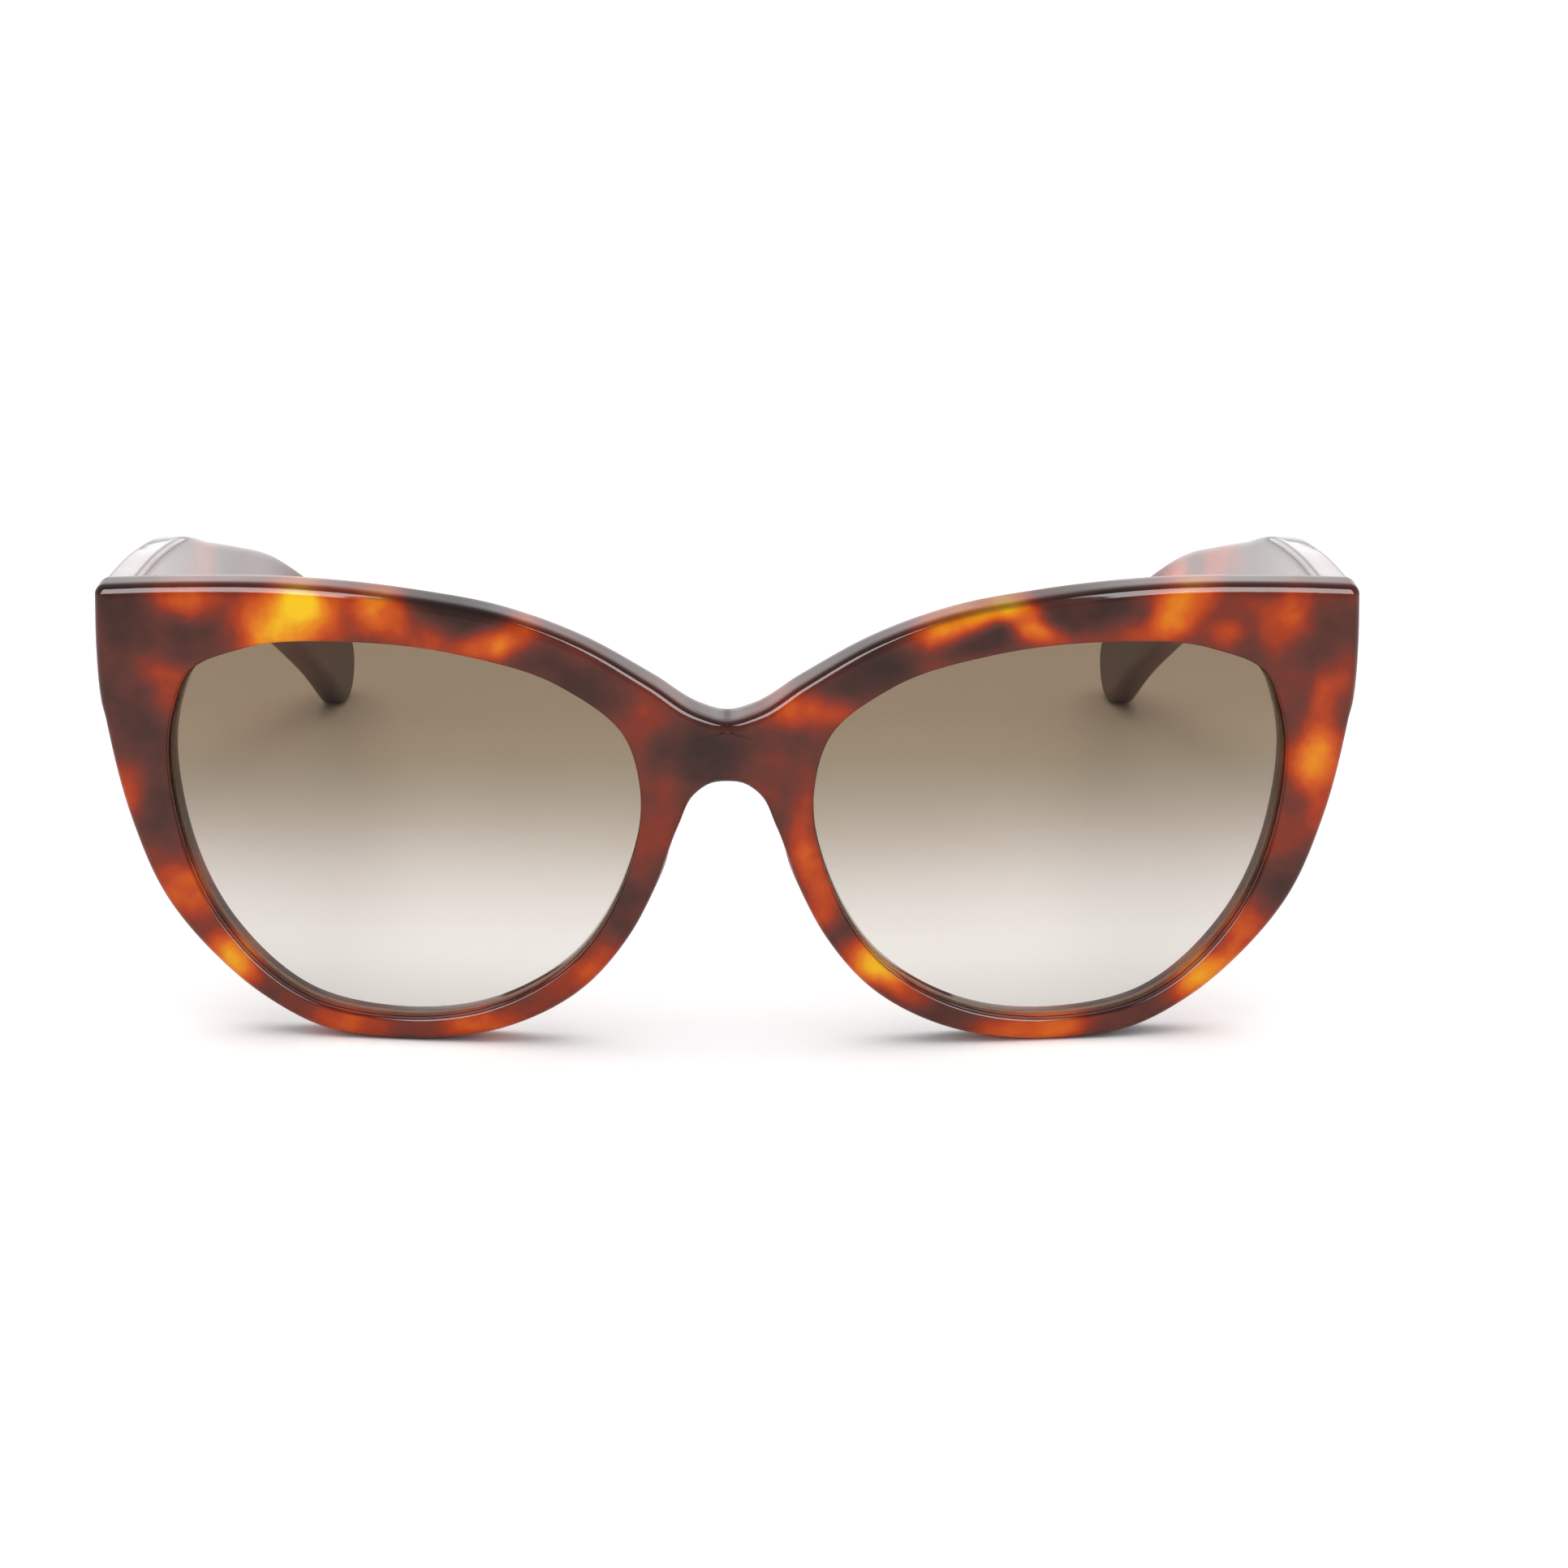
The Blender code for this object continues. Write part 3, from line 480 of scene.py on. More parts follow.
def make_lens(name, side):
    eye, normals = eye_loop(outer_loop()[0])
    edge = eye - normals * LENS_EDGE_GAP
    bevel = eye + normals * (LENS_BEVEL - LENS_EDGE_GAP)
    face = GROOVE_MIDDLE - LENS_THICKNESS / 2
    back = GROOVE_MIDDLE + LENS_THICKNESS / 2
    shares = np.linspace(0, 1, LENS_RINGS + 1)[1:]
    sheet = [EYE_CENTRE + (edge - EYE_CENTRE) * share for share in shares]
    loops = [(loop, face) for loop in sheet] + [(bevel, GROOVE_MIDDLE)]
    loops += [(loop, back) for loop in reversed(sheet)]
    mesh = bmesh.new()
    rows = [[mesh.verts.new(face_point(x, z, depth)) for x, z in loop] for loop, depth in loops]
    centres = [mesh.verts.new(face_point(*EYE_CENTRE, depth)) for depth in (face, back)]
    for i in range(len(edge)):
        j = (i + 1) % len(edge)
        for these, following in zip(rows, rows[1:]):
            mesh.faces.new((these[i], these[j], following[j], following[i]))
        mesh.faces.new((centres[0], rows[0][j], rows[0][i]))
        mesh.faces.new((centres[1], rows[-1][i], rows[-1][j]))
    bmesh.ops.recalc_face_normals(mesh, faces=mesh.faces)
    lens = make_piece(name, mesh, side)
    shade(lens, 25)
    return lens


# ---- the temples ----


def temple_x(back, inset):
    """x of a point on the temple, that far behind the face and that far inside the outer face."""
    curve = np.clip(back, BEND_START, BEND_END) - BEND_START
    bend = BEND_SLOPE * (curve**2 / (2 * (BEND_END - BEND_START)) + max(back - BEND_END, 0))
    return TEMPLE_X - bend - inset


def temple_thickness(back):
    share = smooth_step(back, BEND_START, TEMPLE_LINE[-1][0])
    return TEMPLE_THICKNESS * (1 - share) + TEMPLE_TIP_THICKNESS * share


def temple_outline():
    """The side view's outline from the front's top, round the tip and back, as (back, z).

    With each point come the middle line's own point, and the unit vector out of the edge.
    """
    before = tuple(2 * a - b for a, b in zip(TEMPLE_LINE[0], TEMPLE_LINE[1]))
    after = tuple(2 * a - b for a, b in zip(TEMPLE_LINE[-1], TEMPLE_LINE[-2]))
    line = resample(smooth_curve(TEMPLE_LINE, before, after), TEMPLE_STATIONS)
    along = np.gradient(line[:, :2], axis=0)
    along /= np.linalg.norm(along, axis=1)[:, None]
    across = np.column_stack([-along[:, 1], along[:, 0]])
    half = line[:, 2:] / 2
    turns = np.linspace(math.pi / 2, -math.pi / 2, TIP_POINTS + 2)[1:-1, None]
    spokes = along[-1] * np.cos(turns) + across[-1] * np.sin(turns)
    end = line[-1, :2]
    top = line[:, :2] + across * half
    bottom = line[:, :2] - across * half
    outline = np.concatenate([top, end + spokes * half[-1], bottom[::-1]])
    middle = np.concatenate([line[:, :2], np.tile(end, (TIP_POINTS, 1)), line[::-1, :2]])
    outward = np.concatenate([across, spokes, -across[::-1]])
    return outline, middle, outward


def make_temple(name, side):
    outline, middle, outward = temple_outline()

    def row(places, inset_share, extra):
        """Points at those places, at a share of the thickness in from the outer face, and extra."""
        made = []
        for back, z in places:
            inset = inset_share * temple_thickness(back) + extra
            made.append((temple_x(back, inset), back, z))
        return made

    rim = outline - outward * TEMPLE_EDGE_RADIUS
    inner = [middle * (1 - s) + rim * s for s in np.linspace(0, 1, TEMPLE_ROWS + 1)[:-1]]
    edge = rounding(TEMPLE_EDGE_RADIUS)
    rows = [row(places, 0, 0) for places in inner]
    rows += [row(outline - outward * inset, 0, depth) for inset, depth in reversed(edge)]
    rows += [row(outline - outward * inset, 1, -depth) for inset, depth in edge]
    rows += [row(places, 1, 0) for places in reversed(inner)]
    mesh = grid_mesh(rows, False)
    bmesh.ops.remove_doubles(mesh, verts=mesh.verts, dist=1e-4)
    bmesh.ops.recalc_face_normals(mesh, faces=mesh.faces)
    point, normal = mitre_plane(MITRE_GAP)
    trim(mesh, point, -normal)
    trim(mesh, (0, 0, 0), (0, 0, -1))
    temple = make_piece(name, mesh, side)
    inner_x = TEMPLE_X - TEMPLE_THICKNESS
    half_height = LEAF_HEIGHT / 2 + POCKET_GAP
    start, end = TEMPLE_LEAF_BACK
    low = (inner_x - LEAF_THICKNESS, start - POCKET_GAP, HINGE_Z - half_height)
    high = (inner_x + LEAF_THICKNESS + POCKET_GAP, end + POCKET_GAP, HINGE_Z + half_height)
    combine(temple, [make_piece(f"{name}_pocket", box_mesh(low, high), side)], "DIFFERENCE")
    shade(temple)
    return temple


# ---- hinges and nose pads ----


def turned_mesh(profile, centre, sides=TURNED_SIDES):
    """A closed solid turned from (radius, height) points about an upright line at the centre."""
    angles = 2 * np.pi * np.arange(sides) / sides
    mesh = bmesh.new()
    rings = [
        [mesh.verts.new((centre[0] + r * math.cos(a), centre[1] + r * math.sin(a), z)) for a in angles]
        for r, z in profile
    ]
    for these, following in zip(rings, rings[1:]):
        for i in range(sides):
            j = (i + 1) % sides
            mesh.faces.new((these[i], these[j], following[j], following[i]))
    mesh.faces.new(reversed(rings[0]))
    mesh.faces.new(rings[-1])
    bmesh.ops.recalc_face_normals(mesh, faces=mesh.faces)
    return mesh


def knuckle_mesh(index, web):
    """One knuckle round the hinge's screw, with a web that runs out to (x, back) = web."""
    low = HINGE_Z - HINGE_HEIGHT / 2 + index * (KNUCKLE_HEIGHT + KNUCKLE_GAP)
    high = low + KNUCKLE_HEIGHT
    reach = np.array(web)
    length = np.linalg.norm(reach)
    start = math.atan2(reach[1], reach[0])
    web_angle = math.asin(WEB_HALF_WIDTH / KNUCKLE_RADIUS)
    hole = SCREW_RADIUS + SCREW_CLEARANCE
    profile = []
    for share in (-1, 0, 1):
        end = (length, share * WEB_HALF_WIDTH)
        profile.append((end, share * web_angle * WEB_SPREAD))
    for angle in np.linspace(web_angle, 2 * math.pi - web_angle, TURNED_SIDES):
        profile.append(((KNUCKLE_RADIUS * math.cos(angle), KNUCKLE_RADIUS * math.sin(angle)), angle))
    turn = np.array([[math.cos(start), -math.sin(start)], [math.sin(start), math.cos(start)]])
    rims = np.array([turn @ rim for rim, _ in profile])
    holes = hole * np.array([(math.cos(start + a), math.sin(start + a)) for _, a in profile])
    pulled = rims * (1 - KNUCKLE_CHAMFER / np.linalg.norm(rims, axis=1))[:, None]
    levels = [
        (pulled, low), (rims, low + KNUCKLE_CHAMFER), (rims, high - KNUCKLE_CHAMFER),
        (pulled, high), (holes, high), (holes, low),
    ]
    rows = [[(HINGE_X + x, HINGE_BACK + y, z) for x, y in points] for points, z in levels]
    mesh = grid_mesh(rows, True)
    bmesh.ops.recalc_face_normals(mesh, faces=mesh.faces)
    return mesh


def rivet_mesh(centre, direction):
    """A low domed rivet head with its flat side on the centre, facing along the direction."""
    profile = [(RIVET_RADIUS, -RIVET_RISE), (RIVET_RADIUS, RIVET_RISE * RIVET_RIM)]
    for angle in np.linspace(0, math.pi / 2, 5)[1:-1]:
        rise = RIVET_RISE * (RIVET_RIM + (1 - RIVET_RIM) * math.sin(angle))
        profile.append((RIVET_RADIUS * (1 - RIVET_DOME + RIVET_DOME * math.cos(angle)), rise))
    profile.append((RIVET_RADIUS * RIVET_TOP, RIVET_RISE))
    mesh = turned_mesh(profile, (0, 0), RIVET_SIDES)
    places = np.array([vert.co for vert in mesh.verts])
    side = np.cross(direction, (0, 0, 1))
    for vert, (a, b, rise) in zip(mesh.verts, places):
        vert.co = np.array(centre) + side * a + np.array((0, 0, 1)) * b + np.array(direction) * rise
    bmesh.ops.recalc_face_normals(mesh, faces=mesh.faces)
    return mesh


def make_leaf(name, side, low, high, indices, web, rivets, facing):
    """A hinge leaf: a plate with rounded edges, its knuckles and its rivet heads."""
    leaf = make_piece(name, box_mesh(low, high), side)
    soften(leaf, LEAF_EDGE_RADIUS)
    meshes = [knuckle_mesh(index, web) for index in indices]
    meshes += [rivet_mesh(centre, facing) for centre in rivets]
    others = [make_piece(f"{name}_{i}", mesh, side) for i, mesh in enumerate(meshes)]
    combine(leaf, others, "UNION")
    shade(leaf, 30)
    return leaf


def make_front_leaf(name, side):
    low = (FRONT_LEAF_X[0], END_BACK - LEAF_THICKNESS, HINGE_Z - LEAF_HEIGHT / 2)
    high = (FRONT_LEAF_X[1], END_BACK, HINGE_Z + LEAF_HEIGHT / 2)
    web = (0.0, END_BACK - LEAF_THICKNESS / 2 - HINGE_BACK)
    rivets = [(FRONT_RIVET_X, END_BACK, HINGE_Z + offset) for offset in FRONT_RIVET_HEIGHTS]
    return make_leaf(name, side, low, high, range(0, KNUCKLES, 2), web, rivets, (0, 1, 0))


def make_temple_leaf(name, side):
    inner = TEMPLE_X - TEMPLE_THICKNESS
    low = (inner, TEMPLE_LEAF_BACK[0], HINGE_Z - LEAF_HEIGHT / 2)
    high = (inner + LEAF_THICKNESS, TEMPLE_LEAF_BACK[1], HINGE_Z + LEAF_HEIGHT / 2)
    rivets = [(inner, back, HINGE_Z + offset) for back, offset in TEMPLE_RIVETS]
    return make_leaf(name, side, low, high, range(1, KNUCKLES, 2), TEMPLE_WEB_REACH, rivets, (-1, 0, 0))


def make_screw(name, side):
    bottom = HINGE_Z - HINGE_HEIGHT / 2
    seat = HINGE_Z + HINGE_HEIGHT / 2 + SCREW_HEAD_LIFT
    rim = seat + SCREW_HEAD_HEIGHT * SCREW_HEAD_RIM
    top = seat + SCREW_HEAD_HEIGHT
    chamfer = SCREW_HEAD_CHAMFER
    profile = [
        (SCREW_POINT[0], bottom), (SCREW_RADIUS, bottom + SCREW_POINT[1]), (SCREW_RADIUS, seat),
        (SCREW_HEAD_RADIUS - chamfer, seat), (SCREW_HEAD_RADIUS, seat + chamfer),
    ]
    for angle in np.linspace(0, math.pi / 2, 6):
        radius = SCREW_HEAD_RADIUS * (1 - SCREW_HEAD_DOME + SCREW_HEAD_DOME * math.cos(angle))
        profile.append((radius, rim + (top - rim) * math.sin(angle)))
    screw = make_piece(name, turned_mesh(profile, (HINGE_X, HINGE_BACK)), side)
    width, depth = SCREW_SLOT
    low = (HINGE_X - width / 2, HINGE_BACK - 2 * SCREW_HEAD_RADIUS, top - depth)
    high = (HINGE_X + width / 2, HINGE_BACK + 2 * SCREW_HEAD_RADIUS, top + depth)
    combine(screw, [make_piece(f"{name}_slot", box_mesh(low, high), side)], "DIFFERENCE")
    shade(screw, 30)
    return screw


def make_nose_pad(name, side):
    """An egg of acetate, flat where it is glued to the rim and flattened where it bears."""
    mesh = bmesh.new()
    bmesh.ops.create_uvsphere(mesh, u_segments=72, v_segments=48, radius=1.0)
    lean = math.radians(PAD_LEAN)
    turn = math.radians(PAD_FACE_TURN)
    down = np.array([math.sin(lean), 0.0, -math.cos(lean)])
    toward_nose = np.array([-math.cos(lean), 0.0, -math.sin(lean)])
    straight_back = np.array([0.0, 1.0, 0.0])
    x, z = PAD_CENTRE
    centre = np.array([x, back_point(x, z)[1], z])
    for vert in mesh.verts:
        across, back, along = np.array(vert.co) * PAD_RADII
        vert.co = centre - toward_nose * across + straight_back * back - down * along
    bmesh.ops.recalc_face_normals(mesh, faces=mesh.faces)
    bearing = toward_nose * math.sin(turn) + straight_back * math.cos(turn)
    trim(mesh, centre + bearing * PAD_FACE_OFFSET, bearing)
    span = PAD_SLOPE_SPAN
    across = np.subtract(back_point(x + span, z), back_point(x - span, z))
    upwards = np.subtract(back_point(x, z + span), back_point(x, z - span))
    pad = make_piece(name, mesh, side)
    soften(pad, PAD_SOFTENING, 5)
    cut = bmesh.new()
    cut.from_mesh(pad.data)
    out_of_pad = np.cross(across, upwards) * (side, 1, 1)
    foot = (centre + (0, PAD_BOTTOM_OFFSET + FRONT_Y, 0)) * (side, 1, 1) * MM
    trim(cut, foot, out_of_pad)
    cut.to_mesh(pad.data)
    cut.free()
    clean_faces(pad)
    shade(pad)
    return pad


# ---- materials ----


def srgb(red, green, blue):
    """A colour as the linear values that the shaders use."""
    shares = [value / 255 for value in (red, green, blue)]
    linear = [s / 12.92 if s <= 0.04045 else ((s + 0.055) / 1.055) ** 2.4 for s in shares]
    return (*linear, 1.0)


def without_veil(colour, veil):
    """The colour under a gloss, where veil is the white that the gloss adds to what is seen."""
    return (*[max(value - veil, 0.0005) for value in colour[:3]], 1.0)


def add_node(tree, kind, inputs=None, **settings):
    """A new node with its settings made, and each input linked to a socket or given its value."""
    made = tree.nodes.new(kind)
    for name, value in settings.items():
        setattr(made, name, value)
    for key, value in (inputs or {}).items():
        if isinstance(value, bpy.types.NodeSocket):
            tree.links.new(value, made.inputs[key])
        else:
            made.inputs[key].default_value = value
    return made


def maths(tree, operation, a, b=0.0, clamp=False):
    made = add_node(tree, "ShaderNodeMath", {0: a, 1: b}, operation=operation, use_clamp=clamp)
    return made.outputs[0]


def times(tree, a, b):
    return maths(tree, "MULTIPLY", a, b)


def plus(tree, a, b, clamp=False):
    return maths(tree, "ADD", a, b, clamp)


def minus(tree, a, b):
    return maths(tree, "SUBTRACT", a, b)


def split(tree, vector):
    """The X, Y and Z of a vector."""
    return add_node(tree, "ShaderNodeSeparateXYZ", {0: vector}).outputs


def vector_maths(tree, operation, a, b):
    second = "Scale" if operation == "SCALE" else 1
    made = add_node(tree, "ShaderNodeVectorMath", {0: a, second: b}, operation=operation)
    return made.outputs[0]


def mix_colours(tree, share, first, second):
    made = add_node(tree, "ShaderNodeMix", {0: share, 6: first, 7: second}, data_type="RGBA")
    return made.outputs[2]


def mix_shaders(tree, share, first, second):
    inputs = {0: share, 1: first.outputs[0], 2: second.outputs[0]}
    return add_node(tree, "ShaderNodeMixShader", inputs)


def facing(tree):
    """The way that the surface faces, along the object's own axes."""
    return split(tree, add_node(tree, "ShaderNodeTexCoord").outputs["Normal"])


def map_range(tree, value, low, high, to_low, to_high, smooth=False):
    kind = "SMOOTHSTEP" if smooth else "LINEAR"
    inputs = {"Value": value, "From Min": low, "From Max": high, "To Min": to_low, "To Max": to_high}
    return add_node(tree, "ShaderNodeMapRange", inputs, interpolation_type=kind).outputs[0]


def noise(tree, place, scale, detail=3.0, roughness=0.5, output="Fac"):
    inputs = {"Vector": place, "Scale": scale, "Detail": detail, "Roughness": roughness}
    return add_node(tree, "ShaderNodeTexNoise", inputs, noise_dimensions="3D").outputs[output]


def ramp(tree, value, stops):
    """A colour ramp through (position, colour) stops."""
    made = add_node(tree, "ShaderNodeValToRGB", {"Fac": value})
    band = made.color_ramp
    while len(band.elements) > 1:
        band.elements.remove(band.elements[0])
    band.elements[0].position, band.elements[0].color = stops[0]
    for position, colour in stops[1:]:
        band.elements.new(position).color = colour
    return made.outputs[0]


def new_material(name):
    made = bpy.data.materials.new(name)
    made.use_nodes = True
    made.node_tree.nodes.clear()
    return made, made.node_tree


def show(tree, shader, kind="ShaderNodeOutputMaterial"):
    add_node(tree, kind, {"Surface": shader.outputs[0]})


def millimetres(tree):
    """Object coordinates in millimetres."""
    coords = add_node(tree, "ShaderNodeTexCoord").outputs["Object"]
    return vector_maths(tree, "SCALE", coords, 1 / MM)


# The acetate's patches, as (x, z, half width, half height, turn in degrees, strength)
FRONT_PATCHES = [
    # wearer's right
    (-49.0, 48.4, 4.2, 9.0, -20, 0.38), (-49.5, 48.6, 7.4, 5.4, 10, 0.26),
    (-59.4, 50.4, 4.4, 3.2, 10, 0.30), (-43.0, 49.0, 4.5, 4.2, 0, 0.22),
    (-38.2, 50.2, 3.6, 3.8, -20, 0.40), (-33.5, 47.8, 5.0, 2.6, 5, 0.10),
    (-26.8, 46.6, 4.4, 2.2, 8, 0.42), (-22.8, 49.0, 2.6, 4.4, -35, 0.30),
    (-61.4, 41.8, 3.0, 4.4, 15, 0.14), (-67.2, 28.6, 3.4, 4.0, 0, 0.22),
    (-60.4, 17.3, 4.4, 4.4, 35, 0.40), (-55.4, 9.2, 4.4, 3.2, -48, 0.50),
    (-52.2, 12.0, 5.5, 2.0, -50, 0.24), (-43.5, 1.6, 6.5, 2.8, 0, 0.26), (-27.0, 2.4, 6.5, 2.8, 18, 0.28),
    (-13.8, 10.2, 5.0, 2.6, 52, 0.28), (-7.6, 27.0, 2.8, 5.0, -12, 0.06),
    (-46.8, 51.8, 2.8, 2.8, 0, 0.20), (-56.0, 46.2, 4.0, 3.0, 20, 0.10),
    # wearer's left
    (8.6, 39.6, 6.0, 2.6, -2, 0.36), (8.8, 28.0, 2.4, 6.5, -8, 0.24), (9.2, 21.0, 2.4, 4.5, -15, 0.20),
    (10.4, 16.4, 2.8, 5.6, -25, 0.30), (26.8, 50.0, 7.4, 2.6, 20, 0.58),
    (32.8, 48.8, 5.4, 3.0, -42, 0.42), (36.6, 47.0, 4.4, 1.8, -5, 0.20),
    (50.7, 50.8, 3.8, 5.8, -35, 0.42), (47.2, 47.4, 4.6, 2.4, 20, 0.16), (55.0, 47.0, 3.4, 1.8, -5, 0.24),
    (61.9, 48.2, 2.8, 4.8, -15, 0.22), (67.0, 40.4, 2.4, 6.0, -20, 0.24), (65.4, 31.8, 4.4, 5.0, 0, 0.46),
    (65.8, 35.6, 2.4, 4.0, -10, 0.08), (64.6, 24.2, 2.6, 5.0, -20, 0.22),
    (58.6, 13.2, 3.6, 4.4, -40, 0.22), (53.9, 7.0, 5.4, 3.0, 40, 0.58), (34.0, 1.6, 7.8, 3.0, 0, 0.40),
    (16.2, 10.4, 4.4, 3.4, -44, 0.62), (20.0, 6.8, 4.4, 2.2, -38, 0.28), (56.0, 50.0, 4.0, 3.4, 0, 0.10),
    # dark clouds
    (-60.4, 46.4, 5.0, 3.6, 0, -0.22), (-67.6, 47.0, 4.5, 6.5, 0, -0.16),
    (-29.5, 50.3, 5.6, 3.0, -8, -0.28), (-66.0, 37.0, 5.0, 6.5, 0, -0.16),
    (-62.8, 25.0, 4.0, 7.0, 15, -0.18), (-16.5, 43.6, 8.0, 4.4, -32, -0.26),
    (-2.0, 34.5, 7.0, 5.5, 0, -0.28), (-11.0, 17.5, 4.5, 8.5, 20, -0.20),
    (15.5, 43.6, 8.0, 4.0, 30, -0.26), (27.2, 47.0, 4.6, 2.4, 8, -0.30), (40.6, 50.2, 6.5, 3.4, 0, -0.30),
    (68.0, 47.0, 4.0, 6.0, 0, -0.14), (63.4, 18.6, 4.4, 5.5, -25, -0.16),
    (12.8, 12.4, 3.0, 3.6, 0, -0.14), (25.0, 3.2, 5.0, 3.0, 0, -0.16), (45.5, 2.2, 5.5, 3.4, 20, -0.10),
    (57.5, 44.5, 5.0, 2.6, 0, -0.12),
]

# What the acetate looks like as the patches' strength grows
TORTOISE = [
    (0.00, srgb(66, 50, 47)), (0.14, srgb(84, 55, 50)), (0.28, srgb(106, 60, 53)),
    (0.42, srgb(138, 60, 46)), (0.56, srgb(182, 70, 36)), (0.70, srgb(216, 97, 26)),
    (0.86, srgb(238, 144, 28)), (1.00, srgb(255, 202, 44)),
]
ACETATE_VEIL = 0.02
PATCH_SPREAD = 1.25  # a patch fades out a little beyond its half widths
PATCH_CORE = 0.85  # this far in from its rim, it is at full strength
PATCH_REACH = 400.0  # along Y: each patch goes right through the front
FRONT_GROUND = (0.20, 0.46)  # the acetate's strength between its patches
FRONT_WARP = 3.2  # how far noise pulls the patches out of shape
FRONT_WISPS = 0.015
FRONT_EDGE_SHADE = (0.4, 0.6)  # painted shade: how much darker its colour is made along its rounded edges, and edge on
# The colour that the painted shade along the edges darkens towards
EDGE_SHADE_COLOUR = (0.004, 0.001, 0.0006, 1.0)
POLISH = (0.045, 0.11)  # roughness, from the clean parts to the worn ones
# Painted shade on the temples: how much darker their colour is made along their rounded edges, and edge
# on
TEMPLE_EDGE_SHADE = (0.15, 0.2)
TEMPLE_COAT = 0.2
TEMPLE_GROUND = 0.12
TEMPLE_OUTER_SPAN = 0.66
TEMPLE_INNER_SPANS = (0.24, 0.64)  # near the hinge, and further back
TEMPLE_TIP_SPAN = 0.25  # the share of that which is left at the tip
TEMPLE_LIVELY_Y = (-25.0, 0.0)
TEMPLE_CALM_Y = (22.0, 50.0)
TIP_DULL_Y = (10.0, 45.0)
TIP_ROUGHNESS = 0.4  # the tips are worn dull


def patch_field(tree, place, patches, base):
    """The acetate's strength: a base value with each patch's soft blob added."""
    total = base
    for x, z, half_width, half_height, turn, strength in patches:
        mapping = add_node(tree, "ShaderNodeMapping", {
            "Vector": place, "Location": (x, 0, z), "Rotation": (0, -math.radians(turn), 0),
            "Scale": (half_width * PATCH_SPREAD, PATCH_REACH, half_height * PATCH_SPREAD),
        }, vector_type="TEXTURE")
        inputs = {"Vector": mapping.outputs[0]}
        blob = add_node(tree, "ShaderNodeTexGradient", inputs, gradient_type="SPHERICAL")
        rise = map_range(tree, blob.outputs["Fac"], 0.0, PATCH_CORE, 0.0, strength, smooth=True)
        total = plus(tree, total, rise)
    return total


def acetate_colour(tree, field):
    stops = [(position, without_veil(colour, ACETATE_VEIL)) for position, colour in TORTOISE]
    return ramp(tree, field, stops)


def finish_acetate(tree, place, colour, flat_axis, gloss, depth=FRONT_EDGE_SHADE, coat=0.0, dull=0.0):
    """Polished acetate with faint polishing marks; dull adds to its roughness.

    Where it turns away from its flat axis, painted shade darkens its colour, most of all along its upper
    edges; depth sets how much.
    """
    # Painted shade: darker where the surface turns from its flat axis, most where it faces up, least
    # where it faces down
    parts = facing(tree)
    square = times(tree, parts[flat_axis], parts[flat_axis])
    turned = times(tree, square, minus(tree, 1.0, square))
    shade_along_edges = times(tree, turned, 4 * depth[0])
    shade_edge_on = times(tree, minus(tree, 1.0, square), depth[1])
    upward_shade_share = map_range(tree, parts["Z"], 0.0, 0.6, 0.2, 1.0)
    edge_shade = times(tree, plus(tree, shade_along_edges, shade_edge_on, clamp=True), upward_shade_share)
    fine = noise(tree, place, 0.9, detail=5.0, roughness=0.62)
    wear = times(tree, fine, noise(tree, place, 0.11, detail=2.0))
    rough = plus(tree, map_range(tree, wear, 0.1, 0.45, *POLISH), dull)
    ripple = noise(tree, place, 0.16, detail=1.0)
    height = plus(tree, ripple, times(tree, fine, 0.06))
    bump = add_node(tree, "ShaderNodeBump", {"Height": height, "Strength": 0.05, "Distance": 0.0004})
    shader = add_node(tree, "ShaderNodeBsdfPrincipled", {
        "Base Color": mix_colours(tree, edge_shade, colour, EDGE_SHADE_COLOUR),
        "Roughness": rough, "Normal": bump.outputs[0],
        "IOR": 1.49, "Specular IOR Level": gloss, "Coat Weight": coat, "Coat Roughness": 0.03,
    })
    show(tree, shader)


def front_colour(tree, place):
    """The colour of the front's acetate at each place."""
    drift = noise(tree, place, 0.11, detail=1.6, roughness=0.45, output="Color")
    pull = vector_maths(tree, "SUBTRACT", drift, (0.5, 0.5, 0.5))
    pull = vector_maths(tree, "SCALE", pull, FRONT_WARP)
    warped = vector_maths(tree, "ADD", place, pull)
    clouds = noise(tree, place, 0.15, detail=4.0)
    base = map_range(tree, clouds, 0.3, 0.7, *FRONT_GROUND)
    field = patch_field(tree, warped, FRONT_PATCHES, base)
    wisps = noise(tree, warped, 0.5, detail=2.0)
    wisps = map_range(tree, wisps, 0.3, 0.7, -FRONT_WISPS, FRONT_WISPS)
    return acetate_colour(tree, plus(tree, field, wisps, clamp=True))


def tortoise_front():
    made, tree = new_material("tortoise_acetate_front")
    place = millimetres(tree)
    finish_acetate(tree, place, front_colour(tree, place), "Y", 0.25)
    return made


